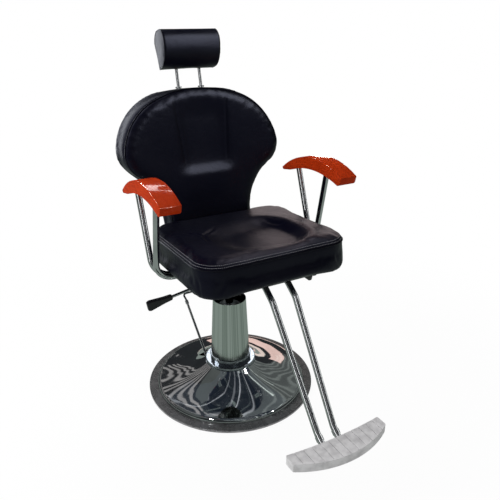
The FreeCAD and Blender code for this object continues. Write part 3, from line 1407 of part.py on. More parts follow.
def make_hinge():
    """Brackets under the rear of the seat frame, and the two pins of the recline hinge."""
    brackets = []
    pins = []
    radius = float(s.hinge_bracket_radius)
    thickness = float(s.hinge_bracket_thickness)
    start = s.frame_back - s.hinge_bracket_reach
    for side in SIDES:
        inner = float(s.back_arm_x + s.back_arm_thickness + s.hinge_side_gap)
        x = inner if side > 0 else -inner - thickness
        plate = wire((
            (start, mount_top - s.hinge_bracket_front), (s.frame_back, mount_top - s.hinge_bracket_belly),
            (hinge.y, hinge.z - radius), (hinge.y, hinge.z), (s.frame_back + s.frame_bar, mount_top),
            (start, mount_top),
        ), side_view)
        blank = Part.Face(plate).extrude(X_AXIS * thickness).translated(Vector(x, 0, 0))
        at = hinge + X_AXIS * x
        disc = Part.makeCylinder(radius, thickness, at, X_AXIS)
        neck_end = spot(x, s.frame_back, mount_top - s.hinge_neck_drop)
        neck = bar_link(at, neck_end, s.hinge_neck_radius, thickness)
        bore = rod(at - X_AXIS, at + X_AXIS * (thickness + 1), s.hinge_pin_radius + s.fixed_gap)
        brackets.append(checked(blank.fuse([disc, neck]).cut(bore).removeSplitter(), "hinge_brackets"))
        pin_start = float(s.back_arm_x - s.hinge_side_gap) * side
        pin_end = (inner + thickness) * side
        head_end = pin_end + float(s.hinge_pin_head_height) * side
        shank = rod(hinge + X_AXIS * pin_start, hinge + X_AXIS * pin_end, s.hinge_pin_radius)
        head = rod(hinge + X_AXIS * pin_end, hinge + X_AXIS * head_end, s.hinge_pin_head)
        pins.append(shank.fuse(head))
    solid("hinge_brackets", Part.makeCompound(brackets))
    solid("hinge_pins", Part.makeCompound(pins))


make_hinge()

# Lockable gas spring

gas_z = s.hinge_z - float(s.cross_rod_arm) * (1 + math.cos(half_recline)) / 2


def make_gas_spring():
    x = s.gas_x
    bore = s.gas_radius - s.gas_wall
    front = s.gas_front_y + s.gas_neck
    back = s.gas_cylinder_back

    def along(first, last, radius):
        return rod(spot(x, first, gas_z), spot(x, last, gas_z), radius)

    half = float(s.gas_eye_width) / 2
    eye_at = spot(x, s.gas_front_y, gas_z)
    across = X_AXIS * half
    body = along(front, back, s.gas_radius).cut(along(front + s.gas_gland, back - s.gas_gland, bore))
    body = body.cut(along(back - s.gas_gland, back, s.gas_rod_radius + s.running_gap))
    neck = along(s.gas_front_y, front, half)
    eye = rod(eye_at - across, eye_at + across, s.gas_eye_radius)
    pin_hole = rod(eye_at - across * 2, eye_at + across * 2, s.gas_pin_radius + s.running_gap)
    solid("gas_cylinder", checked(body.fuse([neck, eye]).cut(pin_hole), "gas_cylinder"))

    slot_y = float(s.cross_rod_radius + s.gas_slot_play)
    sweep = float(s.cross_rod_arm) * (1 - math.cos(half_recline)) / 2
    slot_z = slot_y + sweep
    wall = float(s.gas_end_wall)
    end_y = cross_at.y
    half_end = s.gas_end_width / 2
    block = box(x - half_end, end_y - slot_y - wall, gas_z - slot_z - wall,
                x + half_end, end_y + slot_y + wall, gas_z + slot_z + wall)
    slot = box(x - half_end, end_y - slot_y, gas_z - slot_z, x + half_end, end_y + slot_y, gas_z + slot_z)
    bar = along(back - s.gas_rod_inside, end_y - slot_y - wall / 2, s.gas_rod_radius)
    solid("gas_rod", checked(block.cut(slot).fuse(bar), "gas_rod"))


def make_gas_bracket():
    """Two ears under the front cross bar that hold the gas spring's front eye."""
    x = s.gas_x
    thickness = s.gas_bracket_thickness
    reach = s.gas_eye_width / 2 + s.ear_gap
    radius = float(s.gas_eye_radius) + float(thickness)
    front = s.front_bar_y - s.cross_bar_width / 2
    back = float(s.gas_front_y) + radius
    base = box(x - reach - thickness, front, mount_top - thickness, x + reach + thickness, back, mount_top)
    ears = []
    for start in (reach, -reach - thickness):
        at = spot(x + start, s.gas_front_y, gas_z)
        disc = Part.makeCylinder(radius, float(thickness), at, X_AXIS)
        ears.append(disc.fuse(box(x + start, float(s.gas_front_y) - radius, gas_z,
                                  x + start + thickness, back, mount_top - thickness)))
    middle = spot(x, s.gas_front_y, gas_z)
    half_pin = X_AXIS * float(reach + thickness + s.ear_gap)
    bore = rod(middle - half_pin, middle + half_pin, s.gas_pin_radius + s.fixed_gap)
    bracket = base.fuse(ears).cut(bore).removeSplitter()
    solid("gas_bracket", checked(bracket, "gas_bracket"))
    solid("gas_pin", rod(middle - half_pin, middle + half_pin, s.gas_pin_radius))


make_gas_spring()
make_gas_bracket()

# Recline release lever

release_at = spot(s.release_x, s.front_bar_y, s.release_z)
release_slope = math.radians(float(s.release_slope_angle))
outwards = Vector(-math.cos(release_slope), 0, -math.sin(release_slope))


def grip_section(reach, height, thickness):
    """A rounded rectangle square to the release lever, at a distance outside its pivot."""
    half_height = float(height) / 2
    half_width = float(thickness) / 2
    corner = min(float(s.grip_corner), half_width, half_height) * 0.99
    steps = [step for _ in range(2) for step in (
        (2 * (half_width - corner),), (corner, 90), (2 * (half_height - corner),), (corner, 90))]
    edges, _, _ = turtle(Vector(corner - half_width, -half_height, 0), 0, steps)
    section = Part.Wire(edges)
    tilt = Placement(release_at + outwards * float(reach), Rotation(Y_AXIS, Z_AXIS, outwards, "ZXY"))
    section.transformShape(tilt.toMatrix())
    return section


def make_release_lever():
    half = float(s.release_barrel_length) / 2
    inner = release_at - outwards * float(s.release_inner)
    outer = release_at + outwards * float(s.release_outer)
    barrel = rod(release_at - Y_AXIS * half, release_at + Y_AXIS * half, s.release_barrel_radius)
    bar = rod(inner, outer, s.release_rod_radius)
    bore = rod(release_at - Y_AXIS * half * 2, release_at + Y_AXIS * half * 2,
               s.release_pin_radius + s.running_gap)
    tab = box(s.gas_x - s.release_tab_half, s.front_bar_y - s.release_pin_radius, s.release_tab_bottom,
              s.gas_x + s.release_tab_half, s.front_bar_y + s.release_pin_radius, s.release_z)
    solid("recline_lever", checked(barrel.fuse([bar, tab]).cut(bore), "recline_lever"))
    start = s.grip_start
    end = start + s.grip_length
    lip = s.grip_lip
    width = s.grip_thickness
    grip = ruled_loft([
        grip_section(start, s.grip_neck - lip, width - lip),
        grip_section(start + lip, s.grip_neck, width),
        grip_section(start + s.grip_waist_place, s.grip_waist, width),
        grip_section(start + s.grip_paddle_place, s.grip_paddle, width),
        grip_section(end - lip, s.grip_paddle - lip, width),
        grip_section(end, s.grip_paddle - lip * 2, width - lip),
    ])
    core = rod(release_at, outer, s.release_rod_radius + s.fixed_gap)
    solid("recline_grip", checked(grip.cut(core), "recline_grip"))


def make_release_bracket():
    reach = s.release_barrel_length / 2 + s.release_ear_gap
    radius = float(s.release_barrel_radius)
    ears = []
    for start in (s.front_bar_y + reach, s.front_bar_y - reach - s.release_ear):
        at = spot(s.release_x, start, s.release_z)
        disc = Part.makeCylinder(radius, float(s.release_ear), at, Y_AXIS)
        ears.append(disc.fuse(box(float(s.release_x) - radius, start, s.release_z,
                                  float(s.release_x) + radius, start + s.release_ear, mount_top)))
    half_pin = Y_AXIS * float(reach + s.release_ear + s.ear_gap)
    bore = rod(release_at - half_pin, release_at + half_pin, s.release_pin_radius + s.fixed_gap)
    solid("release_bracket", Part.makeCompound([ear.cut(bore).removeSplitter() for ear in ears]))
    solid("release_pin", rod(release_at - half_pin, release_at + half_pin, s.release_pin_radius))


make_release_lever()
make_release_bracket()

# Headrest, in the backrest's frame


def make_headrest():
    profile = wire((
        (s.headrest_back - s.headrest_heel, s.headrest_bottom),
        (s.headrest_back, s.headrest_back_height),
        (s.headrest_crown_back, s.headrest_top, s.headrest_back_angle),
        (s.headrest_crown_front, s.headrest_top),
        (s.headrest_front, s.headrest_nose_height, s.headrest_front_angle),
        (s.headrest_chin, s.headrest_chin_height, s.headrest_chin_angle),
    ), side_view)
    half = float(s.headrest_half_width)
    inset = float(s.headrest_end_inset)
    length = float(s.headrest_end_round)
    ends = [(half, inset), (half - length * ROUND_SHARE, inset * ROUND_SHARE), (half - length, 0)]
    loops = [shrunk_wire(profile, amount).translated(Vector(reach * side, 0, 0))
             for side, order in ((-1, ends), (1, ends[::-1])) for reach, amount in order]
    cushion = ruled_loft(loops)
    front = s.headrest_rod_depth + s.headrest_rod_radius + s.fixed_gap
    margin = s.headrest_board_margin
    board = box(margin - s.headrest_half_width, front, s.headrest_board_bottom,
                s.headrest_half_width - margin, front + s.headrest_board_thickness, s.headrest_board_top)
    holes = [guide_shape(s.headrest_rod_radius + s.fixed_gap, side, s.headrest_rod_bottom,
                         s.headrest_rod_top + s.fixed_gap) for side in SIDES]
    solid("headrest_cushion", checked(cushion.cut([board] + holes), "headrest_cushion"), BACK)
    solid("headrest_board", board, BACK)


def make_headrest_rods():
    rods = []
    radius = float(s.headrest_rod_radius)
    for side in SIDES:
        bar = guide_shape(radius, side, s.headrest_rod_bottom, s.headrest_rod_top)
        notches = []
        for step in range(int(float(s.notch_count))):
            height = s.headrest_rod_bottom + s.notch_pitch * (step + 0.5)
            behind = s.headrest_rod_depth + radius - s.notch_depth
            middle = s.headrest_rod_x * side
            notches.append(box(middle - radius, behind, height, middle + radius, behind + radius,
                               height + s.notch_width))
        rods.append(bar.cut(notches))
    solid("headrest_rods", Part.makeCompound(rods), BACK)


make_headrest()
make_headrest_rods()

# Footrest

footrest_at = spot(0, s.footrest_pivot_y, s.footrest_pivot_z)
crank_at = footrest_at + spot(0, s.crank_y, s.crank_z)
plate_bottom = s.footplate_top - s.footplate_thickness
tube_foot_z = plate_bottom - s.footrest_tube_radius
PLATE_SCREWS = [(s.footrest_foot_x * side, y) for side in SIDES for y in (s.plate_screw_front, s.plate_screw_rear)]


def footrest_points(side):
    """Corners of one footrest tube, from the shaft down to the footplate."""
    return [
        spot(s.footrest_top_x * side, s.footrest_pivot_y, s.footrest_pivot_z),
        spot(s.footrest_top_x * side, s.footrest_upper_y, s.footrest_upper_z),
        spot(s.footrest_foot_x * side, s.footrest_lower_y, s.footrest_lower_z),
        spot(s.footrest_foot_x * side, s.footrest_foot_y, tube_foot_z),
        spot(s.footrest_foot_x * side, s.footrest_end_y, tube_foot_z),
    ]


def plate_screw_shapes(gap=0.0):
    """Screws that hold the footplate on its tubes from below."""
    length = s.footrest_tube_radius * 2 + s.plate_screw_reach
    shapes = []
    for x, y in PLATE_SCREWS:
        seat = spot(x, y, tube_foot_z - s.footrest_tube_radius)
        shank = rod(seat, seat + Z_AXIS * float(length), float(s.plate_screw_radius) + gap)
        head = rod(seat - Z_AXIS * float(s.plate_screw_head_height), seat, s.plate_screw_head)
        shapes.append(shank.fuse(head))
    return shapes


def make_footrest_frame():
    half = X_AXIS * float(s.footrest_sleeve_half)
    outer = rod(footrest_at - half, footrest_at + half, s.footrest_sleeve_radius)
    start = X_AXIS * float(s.link_x + s.link_thickness + s.link_side_gap)
    thickness = s.crank_thickness
    knee = footrest_at + spot(0, s.crank_knee, s.crank_z)
    crank = [bar_link(start + first, start + last, s.crank_radius, thickness)
             for first, last in ((footrest_at, knee), (knee, crank_at))]
    pin_end = X_AXIS * float(s.link_x - s.link_side_gap)
    pin = rod(crank_at + pin_end, crank_at + start, s.link_pin_radius)
    washer = rod(crank_at + pin_end - X_AXIS * float(s.link_side_gap), crank_at + pin_end,
                 s.link_pin_radius + s.link_front_play * 2)
    bore = rod(footrest_at - half, footrest_at + half, s.footrest_shaft_radius + s.running_gap)
    sleeve = outer.fuse(crank + [pin, washer]).cut(bore)
    solid("footrest_sleeve", checked(sleeve.removeSplitter(), "footrest_sleeve"))
    holes = plate_screw_shapes(float(s.fixed_gap))
    tubes = []
    sockets = []
    for side in SIDES:
        points = footrest_points(side)
        tube = bent_bar(points, s.footrest_bend, s.footrest_tube_radius, s.footrest_tube_wall)
        plug = rod(points[-1] + Y_AXIS * float(s.footrest_tube_radius), points[-1],
                   s.footrest_tube_radius - s.footrest_tube_wall)
        tubes.append(checked(tube.fuse(plug).cut([outer] + holes), "footrest_tubes"))
        ring_axis = (points[3] - points[2]).normalize()
        ring_start = points[2] + ring_axis * float(s.ferrule_start)
        ring_end = ring_start + ring_axis * float(s.ferrule_span)
        ring = rod(ring_start, ring_end, s.footrest_tube_radius + s.ferrule_wall)
        sockets.append(ring.cut(rod(ring_start, ring_end, s.footrest_tube_radius + s.fixed_gap)))
    solid("footrest_tubes", Part.makeCompound(tubes))
    solid("footrest_collars", Part.makeCompound(sockets))


def make_footplate():
    body = new_body("footplate")
    half = s.footplate_half_width
    front_sweep = (half * half + s.footplate_front_bow * s.footplate_front_bow) / (s.footplate_front_bow * 2)
    back_sweep = (half * half + s.footplate_back_bow * s.footplate_back_bow) / (s.footplate_back_bow * 2)
    sketch = new_sketch(body, "XY_Plane", "footplate_outline")
    outline(sketch, (
        (-half, s.footplate_front), (half, s.footplate_front, front_sweep), (half, s.footplate_back),
        (-half, s.footplate_back, -back_sweep),
    ))
    pad(body, sketch, s.footplate_thickness)
    doc.recompute()
    tip = body.Tip
    upright = [f"Edge{number}" for number, edge in enumerate(body.Shape.Edges, start=1)
               if abs(edge.BoundBox.ZLength - float(s.footplate_thickness)) < 0.01]
    rounding = body.newObject("PartDesign::Fillet", "footplate_corners")
    rounding.Base = (tip, upright)
    bind(rounding, "Radius", s.footplate_corner)
    groove = new_sketch(body, "XY_Plane", "footplate_groove", s.footplate_thickness - s.groove_depth)
    first = -s.groove_pitch * (s.groove_count - 1) / 2
    far = s.footplate_front_bow * 2
    rectangle(groove, first - s.groove_width / 2, s.footplate_front - far, first + s.groove_width / 2,
              s.footplate_back + far)
    cut = pocket(body, groove, s.groove_depth * 2)
    rows = body.newObject("PartDesign::LinearPattern", "footplate_grooves")
    rows.Originals = [cut]
    rows.Direction = (groove, ["H_Axis"])
    rows.setExpression("Length", (s.groove_pitch * (s.groove_count - 1)).text)
    rows.setExpression("Occurrences", s.groove_count.text)
    body.Tip = rows
    round_holes(body, "footplate_holes", PLATE_SCREWS, s.plate_screw_radius + s.fixed_gap,
                s.plate_screw_reach + s.fixed_gap)
    place(body, z=plate_bottom)
    solid("footplate_screws", Part.makeCompound(plate_screw_shapes()))


def make_footrest_mount():
    """Brackets under the frame's front bar, and the shaft that the footrest swings on."""
    brackets = []
    radius = float(s.footrest_ear_radius)
    thickness = float(s.footrest_ear_thickness)
    inner = float(s.footrest_sleeve_half + s.footrest_ear_gap)
    for side in SIDES:
        x = inner if side > 0 else -inner - thickness
        at = footrest_at + X_AXIS * x
        disc = Part.makeCylinder(radius, thickness, at, X_AXIS)
        foot = box(x, footrest_at.y, float(footrest_at.z) - radius, x + thickness,
                   s.frame_front + s.frame_bar, mount_top)
        bore = rod(at - X_AXIS, at + X_AXIS * (thickness + 1), s.footrest_shaft_radius + s.fixed_gap)
        brackets.append(checked(disc.fuse(foot).cut(bore).removeSplitter(), "footrest_brackets"))
    solid("footrest_brackets", Part.makeCompound(brackets))
    half = X_AXIS * (inner + thickness + float(s.ear_gap))
    solid("footrest_shaft", rod(footrest_at - half, footrest_at + half, s.footrest_shaft_radius))


def make_link():
    """The flat bar from the backrest's lug to the footrest's crank."""
    out = X_AXIS * float(s.link_x)
    front = crank_at + out
    rear = about_hinge(s.link_arm) + out
    past = X_AXIS * float(s.link_thickness)
    play = s.link_pin_radius + s.link_front_play
    bar = bar_link(front, rear, s.link_half_height, s.link_thickness)
    eye = rod(front, front + past, play + s.link_front_play * 2)
    holes = [rod(front - past, front + past * 2, play),
             rod(rear - past, rear + past * 2, s.link_pin_radius + s.running_gap)]
    solid("footrest_link", checked(bar.fuse(eye).cut(holes).removeSplitter(), "footrest_link"))


make_footrest_frame()
make_footplate()
make_footrest_mount()
make_link()

# Report and export

doc.recompute()
for item in doc.Objects:
    if "Invalid" in item.State or "Error" in item.State:
        raise RuntimeError(f"{item.Label} failed: {item.State}")
for piece in pieces:
    checked(piece.Shape, piece.Label)
for piece in pieces:
    piece.Shape.exportStep(f"parts/{piece.Label}.step")
print(len(pieces), "pieces written")
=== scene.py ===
"""Hydraulic barber chair: its upholstery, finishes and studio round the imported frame.

Lengths are in metres, written as millimetres times MM. The origin lies on the floor under the middle
of the column, +Z is up, the sitter faces -Y and the sitter's left is +X.
"""

import json
import logging
import math
from dataclasses import dataclass
from enum import Enum
from typing import Any, Callable, Iterable, Mapping, Sequence

import bmesh
import bpy
from mathutils import Matrix, Vector, noise
from mathutils.bvhtree import BVHTree
from mathutils.kdtree import KDTree

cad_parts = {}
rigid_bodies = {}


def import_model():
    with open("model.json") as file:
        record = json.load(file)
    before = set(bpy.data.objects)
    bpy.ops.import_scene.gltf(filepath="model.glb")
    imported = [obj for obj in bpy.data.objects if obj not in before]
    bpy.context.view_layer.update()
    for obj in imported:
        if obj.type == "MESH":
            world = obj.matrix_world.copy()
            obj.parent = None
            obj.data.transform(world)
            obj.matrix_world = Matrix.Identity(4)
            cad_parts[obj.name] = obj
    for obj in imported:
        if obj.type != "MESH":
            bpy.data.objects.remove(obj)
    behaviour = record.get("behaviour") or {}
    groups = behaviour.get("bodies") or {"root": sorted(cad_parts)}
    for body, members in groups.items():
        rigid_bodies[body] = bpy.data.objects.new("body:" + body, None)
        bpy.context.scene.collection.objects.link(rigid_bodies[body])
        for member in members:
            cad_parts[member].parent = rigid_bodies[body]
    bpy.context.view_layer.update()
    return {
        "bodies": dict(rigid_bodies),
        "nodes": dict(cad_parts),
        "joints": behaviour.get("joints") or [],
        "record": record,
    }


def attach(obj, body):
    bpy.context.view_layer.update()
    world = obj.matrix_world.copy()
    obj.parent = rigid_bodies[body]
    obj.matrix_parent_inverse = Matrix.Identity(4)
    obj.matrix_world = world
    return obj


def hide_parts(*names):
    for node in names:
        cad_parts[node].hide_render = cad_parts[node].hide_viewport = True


MM = 0.001
WATTS_OF_A_SQUARE_METRE = 4.0
MERGE = 0.05 * MM
MIRROR_MERGE = 0.01 * MM
ARC_STEPS = 14
RAYS_FROM_THE_EYE = ("Is Camera Ray", "Is Glossy Ray", "Is Transmission Ray")
MIDDLE = (0.0, 0.0, 0.6)
CLOTH_FRAMES = 20
CLOTH = {
    "quality": 5,
    "mass": 0.4,
    "tension_stiffness": 25,
    "compression_stiffness": 25,
    "shear_stiffness": 12,
    "bending_stiffness": 0.6,
}
Object = bpy.types.Object
Material = bpy.types.Material
Mesh = bmesh.types.BMesh
Edge = bmesh.types.BMEdge
Pair = tuple[float, float]
Triple = tuple[float, float, float]
Colour = Triple
WHITE: Colour = (1.0, 1.0, 1.0)
Shaping = Callable[[Vector], Vector]

log = logging.getLogger("barber_chair")


class Side(Enum):
    """The two sides of the chair, as the sign of x."""

    RIGHT = -1
    LEFT = 1


class Grain(Enum):
    """How a finish's pattern lies on its piece."""

    PLAIN = "plain"
    RADIAL = "radial"
    UPRIGHT = "upright"


class Gloss(Enum):
    """What a card shows in, by the names of finishes or pieces."""

    BASE = ("spun_chrome", "rim_metal")
    COLUMN = ("column_chrome",)
    TUBES = ("chrome", "gland_metal")
    COLLAR = ("satin_chrome",)
    ROD = ("piston_rod", "swivel_hub")
    PIPING = ("piping_leather",)
    BACKREST = ("back_upholstery", "headrest_upholstery")
    SEAT = ("seat_upholstery",)
    HEADREST = ("headrest_upholstery",)
    WOOD = ("red_lacquer",)


def smooth_step(value: float, low: float, high: float) -> float:
    """Rises smoothly from 0 at low to 1 at high."""
    share = min(max((value - low) / (high - low), 0.0), 1.0)
    return share * share * (3 - 2 * share)


def plateau(value: float, rise: Pair, fall: Pair) -> float:
    """Rises smoothly from 0 to 1 over one range and falls back over another."""
    return smooth_step(value, *rise) * (1 - smooth_step(value, *fall))


def bell(value: float, width: float) -> float:
    """A smooth hump: 1 at 0, falling away over the width."""
    return math.exp(-((value / width) ** 2))


def quarter_round(share: float) -> float:
    """Height of a quarter ellipse at a share of its way inwards."""
    share = min(max(share, 0.0), 1.0)
    return math.sqrt(1 - (1 - share) ** 2)


# Materials


class Signal:
    """A shader socket that takes part in Python expressions on values."""

    def __init__(self, recipe: "Recipe", socket: bpy.types.NodeSocket) -> None:
        """Keeps the socket and the recipe that it belongs to."""
        self.recipe = recipe
        self.socket = socket

    def __add__(self, other: "Signal | float") -> "Signal":
        """Adds a value."""
        return self.recipe.maths("ADD", self, other)

    def __radd__(self, other: float) -> "Signal":
        """Adds to a value."""
        return self.recipe.maths("ADD", other, self)

    def __sub__(self, other: "Signal | float") -> "Signal":
        """Takes a value away."""
        return self.recipe.maths("SUBTRACT", self, other)

    def __rsub__(self, other: float) -> "Signal":
        """Takes this away from a value."""
        return self.recipe.maths("SUBTRACT", other, self)

    def __mul__(self, other: "Signal | float") -> "Signal":
        """Multiplies by a value."""
        return self.recipe.maths("MULTIPLY", self, other)

    def __truediv__(self, other: "Signal | float") -> "Signal":
        """Divides by a value."""
        return self.recipe.maths("DIVIDE", self, other)


class Recipe:
    """The node tree of one material or world, with short calls for its nodes."""

    def __init__(self, name: str, for_world: bool = False) -> None:
        """Starts an empty material or world."""
        self.owner = (bpy.data.worlds if for_world else bpy.data.materials).new(name)
        self.owner.use_nodes = True
        self.tree = self.owner.node_tree
        self.tree.nodes.clear()

    def node(
        self,
        kind: str,
        settings: Mapping[str, Any] | None = None,
        inputs: Mapping[str | int, Any] | None = None,
    ) -> bpy.types.Node:
        """Adds a node.

        Args:
            kind: The node's type.
            settings: Its settings, set first.
            inputs: Values or links of its sockets, by name or number.

        Returns:
            The new node.
        """
        node = self.tree.nodes.new(kind)
        for key, value in (settings or {}).items():
            setattr(node, key, value)
        for key, value in (inputs or {}).items():
            self.feed(node.inputs[key], value)
        return node

    def signal(
        self,
        kind: str,
        settings: Mapping[str, Any] | None = None,
        inputs: Mapping[str | int, Any] | None = None,
        output: str | int = 0,
    ) -> Signal:
        """Adds a node, as node() does, and takes one of its outputs."""
        return Signal(self, self.node(kind, settings, inputs).outputs[output])

    def feed(self, socket: bpy.types.NodeSocket, value: Any) -> None:
        """Links a signal to a socket, or sets its value."""
        if isinstance(value, Signal):
            self.tree.links.new(value.socket, socket)
        elif socket.type == "RGBA" and len(value) == 3:
            socket.default_value = (*value, 1.0)
        else:
            socket.default_value = value

    def maths(self, operation: str, *values: Signal | float) -> Signal:
        """Adds a Math node for one operation on values."""
        return self.signal("ShaderNodeMath", {"operation": operation}, dict(enumerate(values)))

    def place(self, stretch: Sequence[float] = (1, 1, 1)) -> Signal:
        """The piece's own coordinates, stretched."""
        here = self.signal("ShaderNodeTexCoord", output="Object")
        return self.signal("ShaderNodeMapping", None, {"Vector": here, "Scale": stretch})

    def axes(self) -> tuple[Signal, ...]:
        """The piece's own x, y and z."""
        here = self.signal("ShaderNodeTexCoord", output="Object")
        parts = self.node("ShaderNodeSeparateXYZ", None, {0: here})
        return tuple(Signal(self, parts.outputs[axis]) for axis in "XYZ")

    def away(self) -> Signal:
        """Distance from the Z axis."""
        x, y, _ = self.axes()
        return self.maths("SQRT", x * x + y * y)

    def around(self, turns: float, rise: float = 0.0, outwards: float = 0.0) -> Signal:
        """Coordinates that go round the Z axis, for patterns that run outwards or upwards.

        Args:
            turns: Size of the pattern round the axis.
            rise: Its size along the axis.
            outwards: Its size away from the axis.

        Returns:
            A vector signal.
        """
        x, y, z = self.axes()
        reach = self.away()
        joined = {"X": x / reach * turns, "Y": y / reach * turns, "Z": z * rise + reach * outwards}
        return self.signal("ShaderNodeCombineXYZ", None, joined)

    def cloud(self, where: Signal, size: float, detail: float = 3.0, bend: float = 0.0) -> Signal:
        """Soft noise, from 0 to 1, whose lumps have the given size."""
        inputs = {"Vector": where, "Scale": 1 / size, "Detail": detail, "Distortion": bend}
        return self.signal("ShaderNodeTexNoise", None, inputs)

    def cells(self, where: Signal, size: float) -> Signal:
        """Distance to the nearest of many scattered points."""
        return self.signal("ShaderNodeTexVoronoi", None, {"Vector": where, "Scale": 1 / size}, "Distance")

    def between(self, value: Signal, low: float, high: float) -> Signal:
        """Rises smoothly from 0 at low to 1 at high."""
        inputs = {"Value": value, "From Min": low, "From Max": high}
        return self.signal("ShaderNodeMapRange", {"interpolation_type": "SMOOTHSTEP"}, inputs)

    def blend(self, share: Signal | float, first: Any, second: Any) -> Signal:
        """Mixes two colours: the first at 0, the second at 1."""
        return self.signal("ShaderNodeMix", {"data_type": "RGBA"}, {0: share, 6: first, 7: second}, 2)

    def relief(self, height: Signal, depth: float, under: Signal | None = None) -> Signal:
        """Turns a height into a surface direction.

        Args:
            height: The height, from 0 to 1.
            depth: What a height of 1 stands for, in metres.
            under: A coarser relief that this one lies on.

        Returns:
            The direction, for a Normal socket.
        """
        inputs: dict[str | int, Any] = {"Height": height, "Distance": depth}
        if under is not None:
            inputs["Normal"] = under
        return self.signal("ShaderNodeBump", None, inputs)

    def from_the_eye(self) -> Signal:
        """1 for rays that come from the eye, also by way of gloss or glass, and 0 for the others."""
        path = self.node("ShaderNodeLightPath")
        seen, *others = (Signal(self, path.outputs[kind]) for kind in RAYS_FROM_THE_EYE)
        for other in others:
            seen = self.maths("MAXIMUM", seen, other)
        return seen

    def surface(self, **inputs: Any) -> Material:
        """Ends the recipe with a surface whose sockets are named with _ for a space."""
        named = {key.replace("_", " "): value for key, value in inputs.items()}
        self.finish(self.signal("ShaderNodeBsdfPrincipled", None, named))
        return self.owner

    def finish(self, shader: Signal) -> None:
        """Feeds a shader to the output of the material or world."""
        kind = "World" if isinstance(self.owner, bpy.types.World) else "Material"
        self.node(f"ShaderNodeOutput{kind}", None, {"Surface": shader})


def glowing(name: str, colour: Colour) -> Material:
    """A finish that glows evenly in one colour."""
    recipe = Recipe(name)
    recipe.finish(recipe.signal("ShaderNodeEmission", None, {"Color": colour, "Strength": 1.0}))
    return recipe.owner


@dataclass(frozen=True)
class Plating:
    """Bright chrome plating, wavy where the sheet under it was spun or drawn."""

    name: str
    colour: Colour = (0.62, 0.63, 0.64)
    dull_and_streak_shade: Colour = (0.5, 0.51, 0.52)
    roughness: float = 0.05
    wave: float = 0.0
    wave_size: float = 1.0
    wave_reach: float = 250 * MM
    grain: Grain = Grain.PLAIN
    haze_size: float = 60 * MM
    spot_size: float = 9 * MM

    def make(self) -> Material:
        """Makes the material."""
        recipe = Recipe(self.name)
        where = recipe.place()
        haze = recipe.cloud(where, self.haze_size, 4.0)
        spots = recipe.cloud(where, self.spot_size, 2.0)
        share = recipe.between(haze, 0.35, 0.75)
        # Upright grain paints dark and bright upright streaks into the colour: painted reflection streaks.
        if self.grain is Grain.UPRIGHT:
            share = recipe.between(recipe.cloud(recipe.around(11.0, 0.4), 1.0, 3.0), 0.4, 0.6)
        colour = recipe.blend(share, self.colour, self.dull_and_streak_shade)
        roughness = self.roughness + haze * 0.04 + recipe.between(spots, 0.62, 0.72) * 0.05
        inputs: dict[str, Any] = {}
        if self.wave:
            inputs["Normal"] = self._waves(recipe)
        return recipe.surface(Base_Color=colour, Metallic=1.0, Roughness=roughness, **inputs)

    def _waves(self, recipe: Recipe) -> Signal:
        """The faint waves of the sheet, along the way that it was worked."""
        if self.grain is Grain.RADIAL:
            broad = recipe.cloud(recipe.around(2.6, 0.0, 0.7), self.wave_size, 0.0)
            return recipe.relief(broad * recipe.away() / self.wave_reach, self.wave)
        if self.grain is Grain.UPRIGHT:
            streaks = recipe.cloud(recipe.around(9.0, 0.6), self.wave_size, 2.0)
            return recipe.relief(streaks, self.wave)
        return recipe.relief(recipe.cloud(recipe.place(), self.wave_size, 1.0), self.wave)


@dataclass(frozen=True)
class Steel:
    """Plain, zinc-plated, cast or painted metal."""

    name: str
    colour: Colour
    worn: Colour
    metallic: float = 1.0
    roughness: float = 0.35
    pit_size: float = 1.2 * MM
    pit_depth: float = 0.04 * MM
    mottle: float = 25 * MM

    def make(self) -> Material:
        """Makes the material."""
        recipe = Recipe(self.name)
        where = recipe.place()
        mottle = recipe.cloud(where, self.mottle, 4.0)
        pits = recipe.cloud(where, self.pit_size, 3.0)
        colour = recipe.blend(recipe.between(mottle, 0.35, 0.7), self.colour, self.worn)
        roughness = self.roughness + (mottle - 0.5) * 0.16
        return recipe.surface(
            Base_Color=colour,
            Metallic=self.metallic,
            Roughness=roughness,
            Normal=recipe.relief(pits, self.pit_depth),
        )


@dataclass(frozen=True)
class Leather:
    """Smooth upholstery leather with a fine grain, soft creases and a little wear."""

    name: str
    colour: Colour
    worn: Colour
    roughness: float = 0.32
    pore: float = 1.1 * MM
    pore_depth: float = 0.09 * MM
    crease: float = 34 * MM
    crease_depth: float = 0.3 * MM
    wear_size: float = 140 * MM
    gloss: float = 0.22
    tint: tuple[float, float, float, float] = (0.78, 0.8, 1.0, 1.0)

    def make(self) -> Material:
        """Makes the material."""
        recipe = Recipe(self.name)
        where = recipe.place()
        wear = recipe.between(recipe.cloud(where, self.wear_size, 4.0), 0.45, 0.75)
        pores = recipe.cells(recipe.place(), self.pore)
        crease = recipe.cloud(recipe.place((1.0, 1.5, 1.0)), self.crease, 3.0, 0.6)
        fold = 1 - recipe.maths("ABSOLUTE", crease - 0.5) * 4
        colour = recipe.blend(wear, self.colour, self.worn)
        roughness = self.roughness + wear * 0.05 + pores * 0.06
        soft = recipe.relief(recipe.maths("MAXIMUM", fold, 0.0), self.crease_depth)
        return recipe.surface(
            Base_Color=colour,
            Roughness=roughness,
            Specular_IOR_Level=self.gloss,
            Specular_Tint=self.tint,
            Normal=recipe.relief(pores, self.pore_depth, soft),
        )


